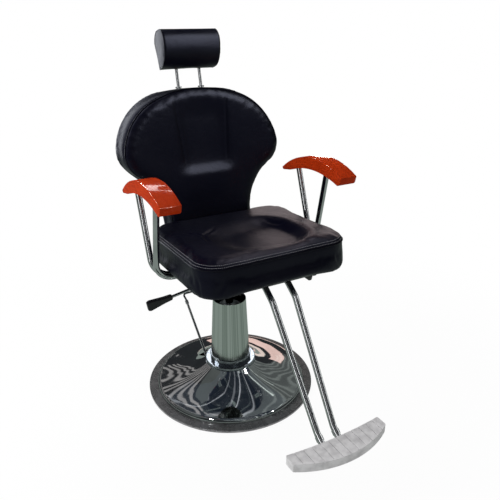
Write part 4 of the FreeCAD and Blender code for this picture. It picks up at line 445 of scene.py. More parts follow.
@dataclass(frozen=True)
class Lacquer:
    """Stained wood under glossy lacquer, its grain along the piece."""

    name: str
    colour: Colour
    dark: Colour
    roughness: float = 0.2
    coat: float = 0.15
    coat_roughness: float = 0.12
    fibre_size: float = 3 * MM
    figure_size: float = 26 * MM

    def make(self) -> Material:
        """Makes the material."""
        recipe = Recipe(self.name)
        fibres = recipe.cloud(recipe.place((1.0, 0.07, 1.0)), self.fibre_size, 4.0, 0.4)
        figure = recipe.cloud(recipe.place((1.0, 0.2, 1.0)), self.figure_size, 3.0, 0.8)
        share = recipe.between(fibres * 0.55 + figure * 0.45, 0.35, 0.68)
        return recipe.surface(
            Base_Color=recipe.blend(share, self.colour, self.dark),
            Roughness=self.roughness + fibres * 0.1,
            Specular_IOR_Level=0.0,
            Coat_Weight=self.coat,
            Coat_Roughness=self.coat_roughness,
            Normal=recipe.relief(fibres, 0.03 * MM),
        )


@dataclass(frozen=True)
class Plywood:
    """Black-stained plywood, with a grain along x and dark specks."""

    name: str
    colour: Colour
    dark: Colour
    fibre_size: float = 4 * MM
    speck_size: float = 12 * MM

    def make(self) -> Material:
        """Makes the material."""
        recipe = Recipe(self.name)
        fibres = recipe.cloud(recipe.place((0.08, 1.0, 1.0)), self.fibre_size, 4.0, 0.5)
        specks = recipe.cloud(recipe.place((0.3, 1.0, 1.0)), self.speck_size, 2.0)
        share = recipe.between(fibres, 0.3, 0.7) * 0.7 + recipe.between(specks, 0.6, 0.7) * 0.3
        return recipe.surface(
            Base_Color=recipe.blend(share, self.colour, self.dark),
            Roughness=0.55 + fibres * 0.2,
            Normal=recipe.relief(fibres, 0.12 * MM),
        )


@dataclass(frozen=True)
class Moulding:
    """Moulded plastic or rubber with a fine spark-eroded texture."""

    name: str
    colour: Colour
    roughness: float = 0.45
    texture: float = 0.7 * MM
    depth: float = 0.05 * MM
    scuff_size: float = 30 * MM

    def make(self) -> Material:
        """Makes the material."""
        recipe = Recipe(self.name)
        where = recipe.place()
        fine = recipe.cloud(where, self.texture, 3.0)
        broad = recipe.cloud(where, self.scuff_size, 3.0)
        scuffed = tuple(min(part * 1.7 + 0.008, 1.0) for part in self.colour)
        colour = recipe.blend(recipe.between(broad, 0.5, 0.8), self.colour, scuffed)
        return recipe.surface(
            Base_Color=colour,
            Roughness=self.roughness + (broad - 0.5) * 0.2,
            Normal=recipe.relief(fine, self.depth),
        )


@dataclass(frozen=True)
class Thread:
    """Sewing thread with a faint twist."""

    name: str
    colour: Colour
    twist_size: float = 0.5 * MM

    def make(self) -> Material:
        """Makes the material."""
        recipe = Recipe(self.name)
        twist = recipe.cloud(recipe.place(), self.twist_size, 2.0)
        # Painted shade: the thread is darker where the twist's relief is low.
        shade = tuple(part * 0.6 for part in self.colour)
        return recipe.surface(
            Base_Color=recipe.blend(twist, shade, self.colour),
            Roughness=0.6 + twist * 0.1,
            Normal=recipe.relief(twist, 0.08 * MM),
        )


class Paintbox:
    """Every finish on the chair, made once and shared."""

    def __init__(self) -> None:
        """Makes the materials."""
        self.chrome = Plating("chrome").make()
        self.spun_chrome = Plating(
            "spun_chrome", wave=5 * MM, wave_size=1.0, grain=Grain.RADIAL, roughness=0.03
        ).make()
        # The greenish tint of this chrome and its upright colour streaks are painted reflection.
        self.column_chrome = Plating(
            "column_chrome", (0.66, 0.7, 0.68), (0.42, 0.47, 0.44), 0.1, 1.0 * MM, grain=Grain.UPRIGHT
        ).make()
        self.satin_chrome = Plating(
            "satin_chrome", (0.66, 0.7, 0.74), (0.5, 0.53, 0.57), 0.1, 1.5 * MM, 14 * MM
        ).make()
        self.rim_metal = Steel(
            "rim_metal", (0.185, 0.185, 0.19), (0.26, 0.26, 0.265), 0.75, 0.28, 2.5 * MM, 0.1 * MM
        ).make()
        self.zinc = Steel("zinc_plate", (0.55, 0.56, 0.57), (0.42, 0.43, 0.44), 1.0, 0.28).make()
        self.black_steel = Steel(
            "black_steel", (0.018, 0.018, 0.02), (0.035, 0.035, 0.037), 0.0, 0.38, 1.5 * MM, 0.08 * MM
        ).make()
        self.cast_iron = Steel(
            "cast_iron", (0.06, 0.06, 0.063), (0.1, 0.098, 0.095), 0.5, 0.55, 1.8 * MM, 0.3 * MM
        ).make()
        self.gland_metal = Steel("gland_metal", (0.3, 0.31, 0.33), (0.22, 0.23, 0.24), 0.9, 0.3).make()
        self.aluminium = Steel(
            "cast_aluminium", (0.79, 0.78, 0.79), (0.6, 0.59, 0.6), 0.15, 0.44, 1.6 * MM, 0.12 * MM
        ).make()
        self.leather = Leather("black_leather", (0.002, 0.002, 0.007), (0.004, 0.004, 0.009)).make()
        self.piping = Leather(
            "piping_leather", (0.003, 0.003, 0.006), (0.008, 0.008, 0.012), 0.3, crease_depth=0.1 * MM
        ).make()
        self.lacquer = Lacquer("red_lacquer", (0.41, 0.034, 0.006), (0.31, 0.022, 0.003)).make()
        self.plywood = Plywood("black_plywood", (0.02, 0.02, 0.021), (0.008, 0.008, 0.009)).make()
        self.plastic = Moulding("black_plastic", (0.006, 0.006, 0.008), 0.4).make()
        self.rubber = Moulding("seal_rubber", (0.015, 0.015, 0.015), 0.7).make()
        self.thread = Thread("grey_thread", (0.4, 0.4, 0.44)).make()


# Mesh tools


def link(name: str, data: bpy.types.ID) -> Object:
    """Puts a mesh, curve, lamp or camera into the scene."""
    made = bpy.data.objects.new(name, data)
    bpy.context.scene.collection.objects.link(made)
    return made


def new_piece(name: str, mesh: Mesh, material: Material) -> Object:
    """Makes an object at the origin from a bmesh, which is freed.

    Args:
        name: The piece's name.
        mesh: The shape, in its place.
        material: The finish of the whole piece.

    Returns:
        The object, smoothly shaded.
    """
    data = bpy.data.meshes.new(name)
    mesh.to_mesh(data)
    mesh.free()
    data.materials.append(material)
    data.shade_smooth()
    return link(name, data)


def evaluated(piece: Object) -> bpy.types.Mesh:
    """The mesh of a curve, or of a piece with its modifiers."""
    graph = bpy.context.evaluated_depsgraph_get()
    return bpy.data.meshes.new_from_object(piece.evaluated_get(graph))


def apply_modifiers(piece: Object) -> None:
    """Applies a piece's modifiers to its mesh."""
    applied = evaluated(piece)
    old = piece.data
    piece.modifiers.clear()
    piece.data = applied
    bpy.data.meshes.remove(old)


def remesh(piece: Object, voxel: float) -> None:
    """Rebuilds a closed piece as an even mesh."""
    modifier = piece.modifiers.new("even", "REMESH")
    modifier.mode = "VOXEL"
    modifier.voxel_size = voxel
    modifier.use_smooth_shade = True
    apply_modifiers(piece)


def subdivide(piece: Object) -> None:
    """Smooths a piece by one level of subdivision."""
    modifier = piece.modifiers.new("smooth", "SUBSURF")
    modifier.levels = modifier.render_levels = 1
    apply_modifiers(piece)


def reshape(piece: Object, shaping: Shaping) -> None:
    """Moves every point of a piece."""
    for vertex in piece.data.vertices:
        vertex.co = shaping(vertex.co)
    piece.data.update()


def relax(piece: Object, rounds: int) -> None:
    """Smooths the steps that a remesh leaves."""
    mesh = bmesh.new()
    mesh.from_mesh(piece.data)
    for _ in range(rounds):
        bmesh.ops.smooth_vert(
            mesh, verts=mesh.verts, factor=0.5, use_axis_x=True, use_axis_y=True, use_axis_z=True
        )
    mesh.to_mesh(piece.data)
    mesh.free()


def inflate(piece: Object, pressure: float, cap: float, held: Callable[[Vector], bool]) -> None:
    """Puffs a closed pad up as cloth over foam, and keeps the result.

    Args:
        piece: The pad, evenly meshed.
        pressure: The pressure inside.
        cap: How far a point may move.
        held: Says which points stay where they are.
    """
    start = [vertex.co.copy() for vertex in piece.data.vertices]
    group = piece.vertex_groups.new(name="held")
    group.add([vertex.index for vertex in piece.data.vertices if held(vertex.co)], 1.0, "REPLACE")
    cloth = piece.modifiers.new("cloth", "CLOTH")
    settings = cloth.settings
    for key, value in CLOTH.items():
        setattr(settings, key, value)
    settings.use_pressure = True
    settings.uniform_pressure_force = pressure
    settings.vertex_group_mass = group.name
    settings.effector_weights.gravity = 0
    cloth.collision_settings.use_collision = False
    cloth.point_cache.frame_start = 1
    cloth.point_cache.frame_end = CLOTH_FRAMES
    scene = bpy.context.scene
    for frame in range(1, CLOTH_FRAMES + 1):
        scene.frame_set(frame)
    apply_modifiers(piece)
    scene.frame_set(1)
    for vertex, before in zip(piece.data.vertices, start):
        moved = vertex.co - before
        if moved.length > cap:
            vertex.co = before + moved * (cap / moved.length)
    piece.vertex_groups.clear()
    piece.data.update()


class Pen:
    """Draws an outline in the XY plane with straight runs and arcs."""

    def __init__(self, mesh: Mesh, start: Sequence[float], heading: float = 0.0) -> None:
        """Puts the pen down.

        Args:
            mesh: The bmesh to draw in.
            start: Where the outline starts.
            heading: Its first direction, in degrees from +X.
        """
        self.mesh = mesh
        self.at = mesh.verts.new(start)
        self.heading = heading

    def straight(self, length: float, steps: int = 1) -> None:
        """Draws a straight run."""
        angle = math.radians(self.heading)
        step = Vector((math.cos(angle), math.sin(angle), 0)) * (length / steps)
        for _ in range(steps):
            self.at = bmesh.ops.extrude_vert_indiv(self.mesh, verts=[self.at])["verts"][0]
            self.at.co += step

    def arc(self, radius: float, turn: float, steps: int) -> None:
        """Draws an arc that turns left by so many degrees, or right where they are negative."""
        angle = math.radians(self.heading)
        inwards = Vector((-math.sin(angle), math.cos(angle), 0)) * math.copysign(radius, turn)
        spun = bmesh.ops.spin(
            self.mesh,
            geom=[self.at],
            cent=self.at.co + inwards,
            axis=(0, 0, 1),
            angle=math.radians(turn),
            steps=steps,
            use_merge=False,
            use_duplicate=False,
        )
        self.at = next(item for item in spun["geom_last"] if isinstance(item, bmesh.types.BMVert))
        self.heading += turn


def draw_profile(mesh: Mesh, corners: Sequence[Triple], x: float) -> list[Edge]:
    """Draws a closed side profile at a place across the chair.

    Args:
        mesh: The bmesh to draw in.
        corners: Each corner's y and z, and the turn in degrees of the arc that leads to it, or 0.
        x: The place across the chair.

    Returns:
        The profile's edges.
    """
    for start, (y, z, turn) in zip(corners[-1:] + corners[:-1], corners):
        run = Vector((y, z)) - Vector(start[:2])
        pen = Pen(mesh, (start[0], start[1], 0), math.degrees(math.atan2(run.y, run.x)) - turn / 2)
        if turn:
            pen.arc(run.length / 2 / math.sin(math.radians(abs(turn) / 2)), turn, ARC_STEPS)
        else:
            pen.straight(run.length, 2)
    bmesh.ops.remove_doubles(mesh, verts=mesh.verts, dist=MERGE)
    for vertex in mesh.verts:
        vertex.co = Vector((x, vertex.co.x, vertex.co.y))
    return list(mesh.edges)


def push_across(mesh: Mesh, edges: Sequence[Edge], width: float) -> None:
    """Fills a profile and pushes it across the chair to a closed block."""
    face = bmesh.ops.contextual_create(mesh, geom=edges)["faces"]
    pushed = bmesh.ops.extrude_face_region(mesh, geom=face)["geom"]
    across = [item for item in pushed if isinstance(item, bmesh.types.BMVert)]
    bmesh.ops.translate(mesh, verts=across, vec=(width, 0, 0))
    bmesh.ops.recalc_face_normals(mesh, faces=mesh.faces)


def ends_of(edges: Iterable[Edge]) -> list[bmesh.types.BMVert]:
    """The points of some edges, each once and in the same order in each run."""
    return list(dict.fromkeys(vertex for edge in edges for vertex in edge.verts))


def loop_points(edges: Sequence[Edge]) -> list[Vector]:
    """The points of a closed chain of edges, in order from its first edge."""
    first = next(iter(edges))
    pool = set(edges) - {first}
    chain = list(first.verts)
    while pool:
        following = next((edge for edge in chain[-1].link_edges if edge in pool), None)
        if following is None:
            break
        pool.remove(following)
        chain.append(following.other_vert(chain[-1]))
    if chain[0] is chain[-1]:
        chain.pop()
    return [vertex.co.copy() for vertex in chain]


def spaced(points: Sequence[Vector], pitch: float) -> list[tuple[Vector, Vector]]:
    """Even places, and their directions, along a closed chain of points at about a pitch."""
    ends = [*points, points[0]]
    total = sum((after - before).length for before, after in zip(ends, ends[1:]))
    count = max(int(round(total / pitch)), 1)
    step = total / count
    places: list[tuple[Vector, Vector]] = []
    walked = 0.0
    target = step / 2
    for before, after in zip(ends, ends[1:]):
        run = after - before
        while run.length > 0 and target <= walked + run.length and len(places) < count:
            places.append((before + run * ((target - walked) / run.length), run.normalized()))
            target += step
        walked += run.length
    return places


def on_surface(tree: BVHTree, point: Vector, lift: float) -> tuple[Vector, Vector]:
    """The nearest place on a surface, raised by a lift, and the surface's direction there."""
    nearest, direction, _, _ = tree.find_nearest(point)
    return nearest + direction * lift, direction


def laid(piece: Object, points: Iterable[Vector], lift: float) -> list[Vector]:
    """Lays points on a piece's surface, raised by a lift."""
    tree = BVHTree.FromObject(piece, bpy.context.evaluated_depsgraph_get())
    return [on_surface(tree, point, lift)[0] for point in points]


def tube(name: str, points: Sequence[Vector], radius: float, material: Material) -> Object:
    """A closed round cord along a loop of points, as a mesh."""
    curve = bpy.data.curves.new(name, "CURVE")
    curve.dimensions = "3D"
    curve.bevel_depth = radius
    curve.bevel_resolution = 2
    spline = curve.splines.new("POLY")
    spline.points.add(len(points) - 1)
    for target, point in zip(spline.points, points):
        target.co = (*point, 1.0)
    spline.use_cyclic_u = True
    drawn = link(name, curve)
    data = evaluated(drawn)
    bpy.data.objects.remove(drawn)
    data.materials.clear()
    data.materials.append(material)
    data.shade_smooth()
    return link(name, data)


@dataclass
class Needle:
    """Sews rows of stitches along the seams of a pad."""

    pitch: float = 5.6 * MM
    length: float = 4.4 * MM
    radius: float = 0.65 * MM
    sink: float = 0.35

    def sew(self, name: str, pad: Object, rows: Sequence[Sequence[Vector]], thread: Material) -> Object:
        """Lays one stitch at each place along the rows.

        Args:
            name: The piece's name.
            pad: The pad that the stitches lie on.
            rows: Closed chains of points near its surface.
            thread: The finish of the stitches.

        Returns:
            All the stitches as one piece.
        """
        tree = BVHTree.FromObject(pad, bpy.context.evaluated_depsgraph_get())
        mesh = bmesh.new()
        for row in rows:
            for point, along in spaced(row, self.pitch):
                place, outwards = on_surface(tree, point, self.radius * self.sink)
                across = outwards.cross(along).normalized()
                along = across.cross(outwards).normalized()
                turn = Matrix((across, along, outwards)).transposed().to_4x4()
                shape = Matrix.Diagonal((self.radius, self.length / 2, self.radius, 1.0))
                bmesh.ops.create_icosphere(
                    mesh, subdivisions=1, radius=1.0, matrix=Matrix.Translation(place) @ turn @ shape
                )
        return new_piece(name, mesh, thread)


# Upholstery


@dataclass(frozen=True)
class Foam:
    """How finely a pad is meshed, and how it swells under its cover."""

    voxel: float
    rounds: int
    pressure: float
    puff: float

    def fill(self, pad: Object, held: Callable[[Vector], bool]) -> None:
        """Meshes a closed pad evenly and puffs it up, but for the points that are held."""
        remesh(pad, self.voxel)
        relax(pad, self.rounds)
        inflate(pad, self.pressure, self.puff, held)


@dataclass
class SeatPad:
    """The seat cushion: a boxed pad with a crowned, dished top that slopes backwards."""

    half_width: float = 253 * MM
    front: float = -350 * MM
    back: float = 101 * MM
    bottom: float = 545.5 * MM
    wall: float = 81.5 * MM
    corner: float = 82 * MM
    corner_steps: int = 12
    foot_inset: float = 7 * MM
    foot_rise: float = 14 * MM
    foot_reach: float = 60 * MM
    skirt: float = 7 * MM
    skirt_height: float = 40 * MM
    skirt_fade: Pair = (20 * MM, 150 * MM)
    tube_bay: Pair = (70 * MM, 215 * MM)
    crown: float = 20 * MM
    crown_start: float = 4 * MM
    crown_width: float = 44 * MM
    dish_depth: float = 21 * MM
    dish_half: float = 152 * MM
    dish_front: float = -322 * MM
    dish_back: float = -42 * MM
    dish_squareness: float = 3.0
    dish_flat: Pair = (0.42, 0.7)
    dish_steepening: Pair = (-60 * MM, 110 * MM)
    dish_rim: float = 1.04
    ridge: float = 5 * MM
    ridge_place: float = 1.1
    ridge_width: float = 0.14
    ridge_rise: Pair = (30 * MM, 110 * MM)
    ripples: tuple[Pair, ...] = ((9.0, 1.6 * MM), (26.0, 0.5 * MM))
    ripple_height: Pair = (45 * MM, 70 * MM)
    crease_depth: float = 2.2 * MM
    crease_width: float = 5 * MM
    crease_lip: float = 0.5
    crease_start: Pair = (-0.1, 0.15)
    crease_end: Pair = (0.55, 1.05)
    creases: tuple[tuple[float, float, float, float], ...] = (
        (-140 * MM, -107 * MM, -70 * MM, -52 * MM),
        (-140 * MM, -107 * MM, -186 * MM, -52 * MM),
        (-140 * MM, -107 * MM, -152 * MM, -190 * MM),
        (132 * MM, -120 * MM, 96 * MM, -58 * MM),
        (-96 * MM, -286 * MM, -40 * MM, -306 * MM),
    )
    slope: float = 3.0
    bay_half: float = 200 * MM
    bay_front: float = -330 * MM
    bay_roof: float = 546.3 * MM
    foam: Foam = Foam(6 * MM, 2, 4.0, 5 * MM)
    held_height: float = 4 * MM
    welt_inset: float = 1.5 * MM
    welt_lift: float = 0.6 * MM
    welt_radius: float = 2.2 * MM
    stitch_insets: tuple[float, ...] = (6.5 * MM, 12.5 * MM)
    row_steps: tuple[int, int, int] = (24, 18, 40)

    def rim_distance(self, x: float, y: float) -> float:
        """How far a point lies inside the seat's outline."""
        middle = (self.front + self.back) / 2
        across = abs(x) - (self.half_width - self.corner)
        along = abs(y - middle) - ((self.back - self.front) / 2 - self.corner)
        outside = math.hypot(max(across, 0.0), max(along, 0.0))
        return self.corner - outside - min(max(across, along), 0.0)

    def build(self, paints: Paintbox) -> list[Object]:
        """Makes the pad, its welt and its stitching."""
        pad = new_piece("seat_upholstery", self._block(), paints.leather)
        self.foam.fill(pad, lambda point: point.z < self.bottom + self.held_height)
        reshape(pad, self._shaped)
        subdivide(pad)
        reshape(pad, self._creased)
        edge = self._row(pad, self.welt_inset, self.welt_lift)
        welt = tube("seat_welt", edge, self.welt_radius, paints.piping)
        rows = [self._row(pad, inset, 0.0) for inset in self.stitch_insets]
        stitches = Needle().sew("seat_stitches", pad, rows, paints.thread)
        return [pad, welt, stitches]

    def _block(self) -> Mesh:
        """The pad as a block with round upright corners."""
        mesh = bmesh.new()
        size = Vector((2 * self.half_width, self.back - self.front, self.wall, 1.0))
        middle = Vector((0, (self.front + self.back) / 2, self.bottom + self.wall / 2))
        bmesh.ops.create_cube(mesh, size=1.0, matrix=Matrix.Translation(middle) @ Matrix.Diagonal(size))
        upright = [
            edge for edge in mesh.edges if abs(edge.verts[0].co.z - edge.verts[1].co.z) > self.wall / 2
        ]
        bmesh.ops.bevel(
            mesh, geom=upright, offset=self.corner, offset_type="OFFSET", segments=self.corner_steps,
            profile=0.5, affect="EDGES", material=-1,
        )
        return mesh

    def _crown(self, inside: float) -> float:
        """Height of the crown so far inside the outline."""
        return self.crown * quarter_round((inside - self.crown_start) / self.crown_width)

    def _sloped(self, y: float, z: float) -> Pair:
        """Turns a place on the seat backwards about its lower front edge."""
        angle = math.radians(self.slope)
        run, rise = y - self.front, z - self.bottom
        return (
            self.front + run * math.cos(angle) + rise * math.sin(angle),
            self.bottom - run * math.sin(angle) + rise * math.cos(angle),
        )

    def _shaped(self, point: Vector) -> Vector:
        """Crown, dish, drawn-in foot, skirt beside the footrest's tubes, slope and bay of the pad."""
        x, y, z = point
        inside = self.rim_distance(x, y)
        middle = Vector((0, (self.front + self.back) / 2, z))
        foot = 1 - smooth_step(z, self.bottom, self.bottom + self.foot_rise)
        reach = (Vector((x, y, z)) - middle).length
        if reach > 0:
            rim = 1 - smooth_step(inside, 0, self.foot_reach)
            x -= (x - middle.x) / reach * self.foot_inset * foot * rim
            y -= (y - middle.y) / reach * self.foot_inset * foot * rim
        upper = smooth_step(z, self.bottom + 0.5 * self.wall, self.bottom + self.wall)
        z += self._crown(inside) * upper
        z -= self._dish(x, y) * upper
        low = 1 - smooth_step(z, self.bottom, self.bottom + self.skirt_height)
        low *= smooth_step(abs(x), *self.tube_bay)
        z -= self.skirt * low * (1 - smooth_step(y - self.front, *self.skirt_fade))
        y, z = self._sloped(y, z)
        if z < self.bay_roof and abs(x) < self.bay_half and y > self.bay_front:
            z = self.bay_roof
        return Vector((x, y, z))

    def _dish(self, x: float, y: float) -> float:
        """Depth of the hollow for the sitter."""
        middle = (self.dish_front + self.dish_back) / 2
        half = (self.dish_back - self.dish_front) / 2
        power = self.dish_squareness
        away = ((abs(x) / self.dish_half) ** power + (abs(y - middle) / half) ** power) ** (1 / power)
        gentle, steep = self.dish_flat
        flat = gentle + (steep - gentle) * smooth_step(x, *self.dish_steepening)
        ridge = self.ridge * bell(away - self.ridge_place, self.ridge_width)
        ridge *= smooth_step(x, *self.ridge_rise)
        return self.dish_depth * (1 - smooth_step(away, flat, self.dish_rim)) - ridge

    def _creased(self, point: Vector) -> Vector:
        """Soft pulls and creases of the leather over the top."""
        lift = sum(noise.noise(point * pitch) * height for pitch, height in self.ripples)
        for start_x, start_y, end_x, end_y in self.creases:
            start = Vector((start_x, start_y))
            run = Vector((end_x, end_y)) - start
            spot = Vector((point.x, point.y)) - start
            share = spot.dot(run) / run.length_squared
            fade = plateau(share, self.crease_start, self.crease_end)
            side = (spot - run * share).length
            lift -= self.crease_depth * bell(side, self.crease_width) * fade
            lip = bell(side - 2 * self.crease_width, self.crease_width)
            lift += self.crease_depth * self.crease_lip * lip * fade
        on_top = smooth_step(point.z - self.bottom, *self.ripple_height)
        return point + Vector((0, 0, lift * on_top))

    def _row(self, pad: Object, inset: float, lift: float) -> list[Vector]:
        """A line on the pad's top, parallel to its rim."""
        mesh = bmesh.new()
        pen = Pen(mesh, (0, self.front + inset, 0))
        radius = self.corner - inset
        half = self.half_width - inset
        depth = self.back - self.front - 2 * inset
        across, turning, along = self.row_steps
        pen.straight(half - radius, across)
        pen.arc(radius, 90, turning)
        pen.straight(depth - 2 * radius, along)
        pen.arc(radius, 90, turning)
        pen.straight(half - radius, across)
        bmesh.ops.mirror(mesh, geom=mesh.verts[:] + mesh.edges[:], axis="X", merge_dist=MIRROR_MERGE)
        bmesh.ops.remove_doubles(mesh, verts=mesh.verts, dist=MIRROR_MERGE)
        flat = loop_points(mesh.edges)
        mesh.free()
        height = self.bottom + self.wall + self._crown(inset)
        return laid(pad, [Vector((point.x, *self._sloped(point.y, height))) for point in flat], lift)

    def dress(self, pieces: Sequence[Object]) -> None:
        """Attaches the pieces to the seat and hides the cushion node that they replace."""
        pad, welt, stitches = pieces
        for piece in pieces:
            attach(piece, "seat")
        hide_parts("seat_cushion")


@dataclass
class LeaningFrame:
    """The backrest's own directions: x across, y behind its front seam, z up the back."""

    front_y: float = 130 * MM
    reference_z: float = 600 * MM
    lean: float = 12.0

    def to_chair(self, point: Vector) -> Vector:
        """Turns a point of the backrest's frame into the chair's frame."""
        angle = math.radians(self.lean)
        return Vector((
            point.x,
            self.front_y + point.y * math.cos(angle) + point.z * math.sin(angle),
            self.reference_z - point.y * math.sin(angle) + point.z * math.cos(angle),
        ))


@dataclass
class BackPad:
    """The backrest: a winged, boxed pad with a lumbar roll and two sewn channels."""

    leaning: LeaningFrame
    bottom: float = -45 * MM
    waist: float = 153 * MM
    corner: float = 30 * MM
    hollow_radius: float = 195 * MM
    hollow_angle: float = 58.0
    sweep_radii: Pair = (85 * MM, 93 * MM)
    sweep_angles: Pair = (68.0, 70.0)
    shoulder_radius: float = 205 * MM
    top_angles: Pair = (28.0, 5.0)
    rear_rise: float = 13 * MM
    loops: tuple[Triple, ...] = (
        (4 * MM, 66 * MM, 1.0), (-3 * MM, 57 * MM, 1.0), (-3 * MM, 10 * MM, 0.5), (1.5 * MM, 0.0, 0.0),
    )
    wing_angle: float = 4.8
    middle_softness: float = 40 * MM
    front_depth: float = 14 * MM
    crown: float = 14 * MM
    crown_width: float = 33 * MM
    lumbar_height: float = 150 * MM
    lumbar_widths: Pair = (34 * MM, 90 * MM)
    lumbar_reach: float = 8 * MM
    lumbar_sides: Pair = (56 * MM, 136 * MM)
    panel_depth: float = 7 * MM
    panel_foot: Pair = (150 * MM, 194 * MM)
    panel_top: Pair = (340 * MM, 420 * MM)
    panel_sides: Pair = (51 * MM, 111 * MM)
    foot_relief: float = 5 * MM
    foot_height: float = 90 * MM
    seam_foot: float = 77 * MM
    seam_top: float = 93 * MM
    seam_low: float = 200 * MM
    seam_high: float = 400 * MM
    seam_depth: float = 1.6 * MM
    seam_width: float = 4 * MM
    seam_reach: float = 20 * MM
    seam_start: Pair = (186 * MM, 214 * MM)
    seam_end: Pair = (390 * MM, 408 * MM)
    foam: Foam = Foam(6 * MM, 2, 4.0, 4 * MM)
    held_depth: float = 60 * MM
    seam_parts: int = 4
    welt_lift: float = 0.4 * MM
    welt_radius: float = 2.0 * MM

    def _outline(self, mesh: Mesh, inset: float, depth: float, rear: float) -> list[Edge]:
        """Draws the backrest's outline.

        Args:
            mesh: The bmesh to draw in.
            inset: How far the outline is drawn in.
            depth: Its place behind the front seam.
            rear: The share of the rear shape, whose wings are higher, from 0 to 1.

        Returns:
            The outline's edges.
        """
        def between(pair: Pair) -> float:
            return pair[0] + (pair[1] - pair[0]) * rear

        before = set(mesh.edges)
        corner = self.corner - inset
        low = self.bottom + inset
        sweep = between(self.sweep_angles)
        top = between(self.top_angles)
        pen = Pen(mesh, (0, low, 0))
        pen.straight(self.waist - inset - corner, 12)
        pen.arc(corner, 90, 8)
        pen.straight(self.rear_rise * rear - low - corner, 3)
        pen.arc(self.hollow_radius + inset, -self.hollow_angle, 24)
        pen.arc(between(self.sweep_radii) - inset, sweep, 18)
        pen.arc(self.shoulder_radius - inset, 90 + self.hollow_angle - sweep - top, 40)
        pen.arc(pen.at.co.x / math.sin(math.radians(top)), top, 16)
        drawn = [edge for edge in mesh.edges if edge not in before]
        points = ends_of(drawn)
        bmesh.ops.mirror(mesh, geom=points + drawn, axis="X", merge_dist=MIRROR_MERGE)
        drawn = [edge for edge in mesh.edges if edge not in before]
        points = ends_of(drawn)
        bmesh.ops.remove_doubles(mesh, verts=points, dist=MERGE)
        drawn = [edge for edge in mesh.edges if edge not in before]
        for vertex in ends_of(drawn):
            vertex.co = Vector((vertex.co.x, depth, vertex.co.y))
        return drawn

    def _block(self) -> tuple[Mesh, list[Vector]]:
        """The boxed pad with a flat front, and the points of its front seam."""
        mesh = bmesh.new()
        loops = [self._outline(mesh, *loop) for loop in self.loops]
        seam = loop_points(loops[-1])
        for first, second in zip(loops, loops[1:]):
            bmesh.ops.bridge_loops(mesh, edges=first + second)
        for loop in (loops[0], loops[-1]):
            bmesh.ops.contextual_create(mesh, geom=loop)
        bmesh.ops.recalc_face_normals(mesh, faces=mesh.faces)
        return mesh, seam

    def build(self, paints: Paintbox) -> list[Object]:
        """Makes the pad and its welt."""
        mesh, seam = self._block()
        pad = new_piece("back_upholstery", mesh, paints.leather)
        self.foam.fill(pad, lambda point: point.y > self.held_depth)
        near = KDTree(len(seam) * self.seam_parts)
        closed = seam + seam[:1]
        for index, (first, second) in enumerate(zip(closed, closed[1:])):
            for part in range(self.seam_parts):
                at = first.lerp(second, part / self.seam_parts)
                near.insert((at.x, 0, at.z), index * self.seam_parts + part)
        near.balance()
        reshape(pad, lambda point: self._shaped(point, near))
        subdivide(pad)
        for shaping in (self._sewn, self._winged, self.leaning.to_chair):
            reshape(pad, shaping)
        line = [self.leaning.to_chair(self._winged(point)) for point in seam]
        welt = tube("back_welt", laid(pad, line, self.welt_lift), self.welt_radius, paints.piping)
        return [pad, welt]

    def _shaped(self, point: Vector, near: KDTree) -> Vector:
        """Crown, lumbar roll and sunken panel of the front."""
        x, depth, height = point
        inside = near.find((x, 0, height))[2]
        front = 1 - smooth_step(depth, 0, self.front_depth)
        depth -= self.crown * quarter_round(inside / self.crown_width) * front
        above, below = self.lumbar_widths
        over = height - self.lumbar_height
        roll = bell(over, above if over > 0 else below)
        roll *= 1 - smooth_step(abs(x), *self.lumbar_sides)
        depth -= self.lumbar_reach * roll * front
        panel = plateau(height, self.panel_foot, self.panel_top)
        panel *= 1 - smooth_step(abs(x), *self.panel_sides)
        depth += self.panel_depth * panel * front
        relief = 1 - smooth_step(height, self.bottom, self.bottom + self.foot_height)
        depth += self.foot_relief * relief * front
        return Vector((x, depth, height))

    def _sewn(self, point: Vector) -> Vector:
        """The two upright channels."""
        x, depth, height = point
        if depth > self.seam_reach:
            return point
        share = (height - self.seam_low) / (self.seam_high - self.seam_low)
        line = self.seam_foot + (self.seam_top - self.seam_foot) * share
        along = plateau(height, self.seam_start, self.seam_end)
        depth += self.seam_depth * bell(abs(x) - line, self.seam_width) * along
        return Vector((x, depth, height))

    def _winged(self, point: Vector) -> Vector:
        """Turns each half forwards, softly about the middle."""
        angle = math.radians(self.wing_angle)
        reach = math.hypot(point.x, self.middle_softness)
        behind = math.copysign(point.y, point.x) * math.sin(angle)
        x = point.x * math.cos(angle) + behind * abs(point.x) / reach
        return Vector((x, point.y * math.cos(angle) - reach * math.sin(angle), point.z))

    def dress(self, pieces: Sequence[Object]) -> None:
        """Attaches the pieces to the backrest and hides the cushion node that they replace."""
        for piece in pieces:
            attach(piece, "backrest")
        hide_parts("back_cushion")


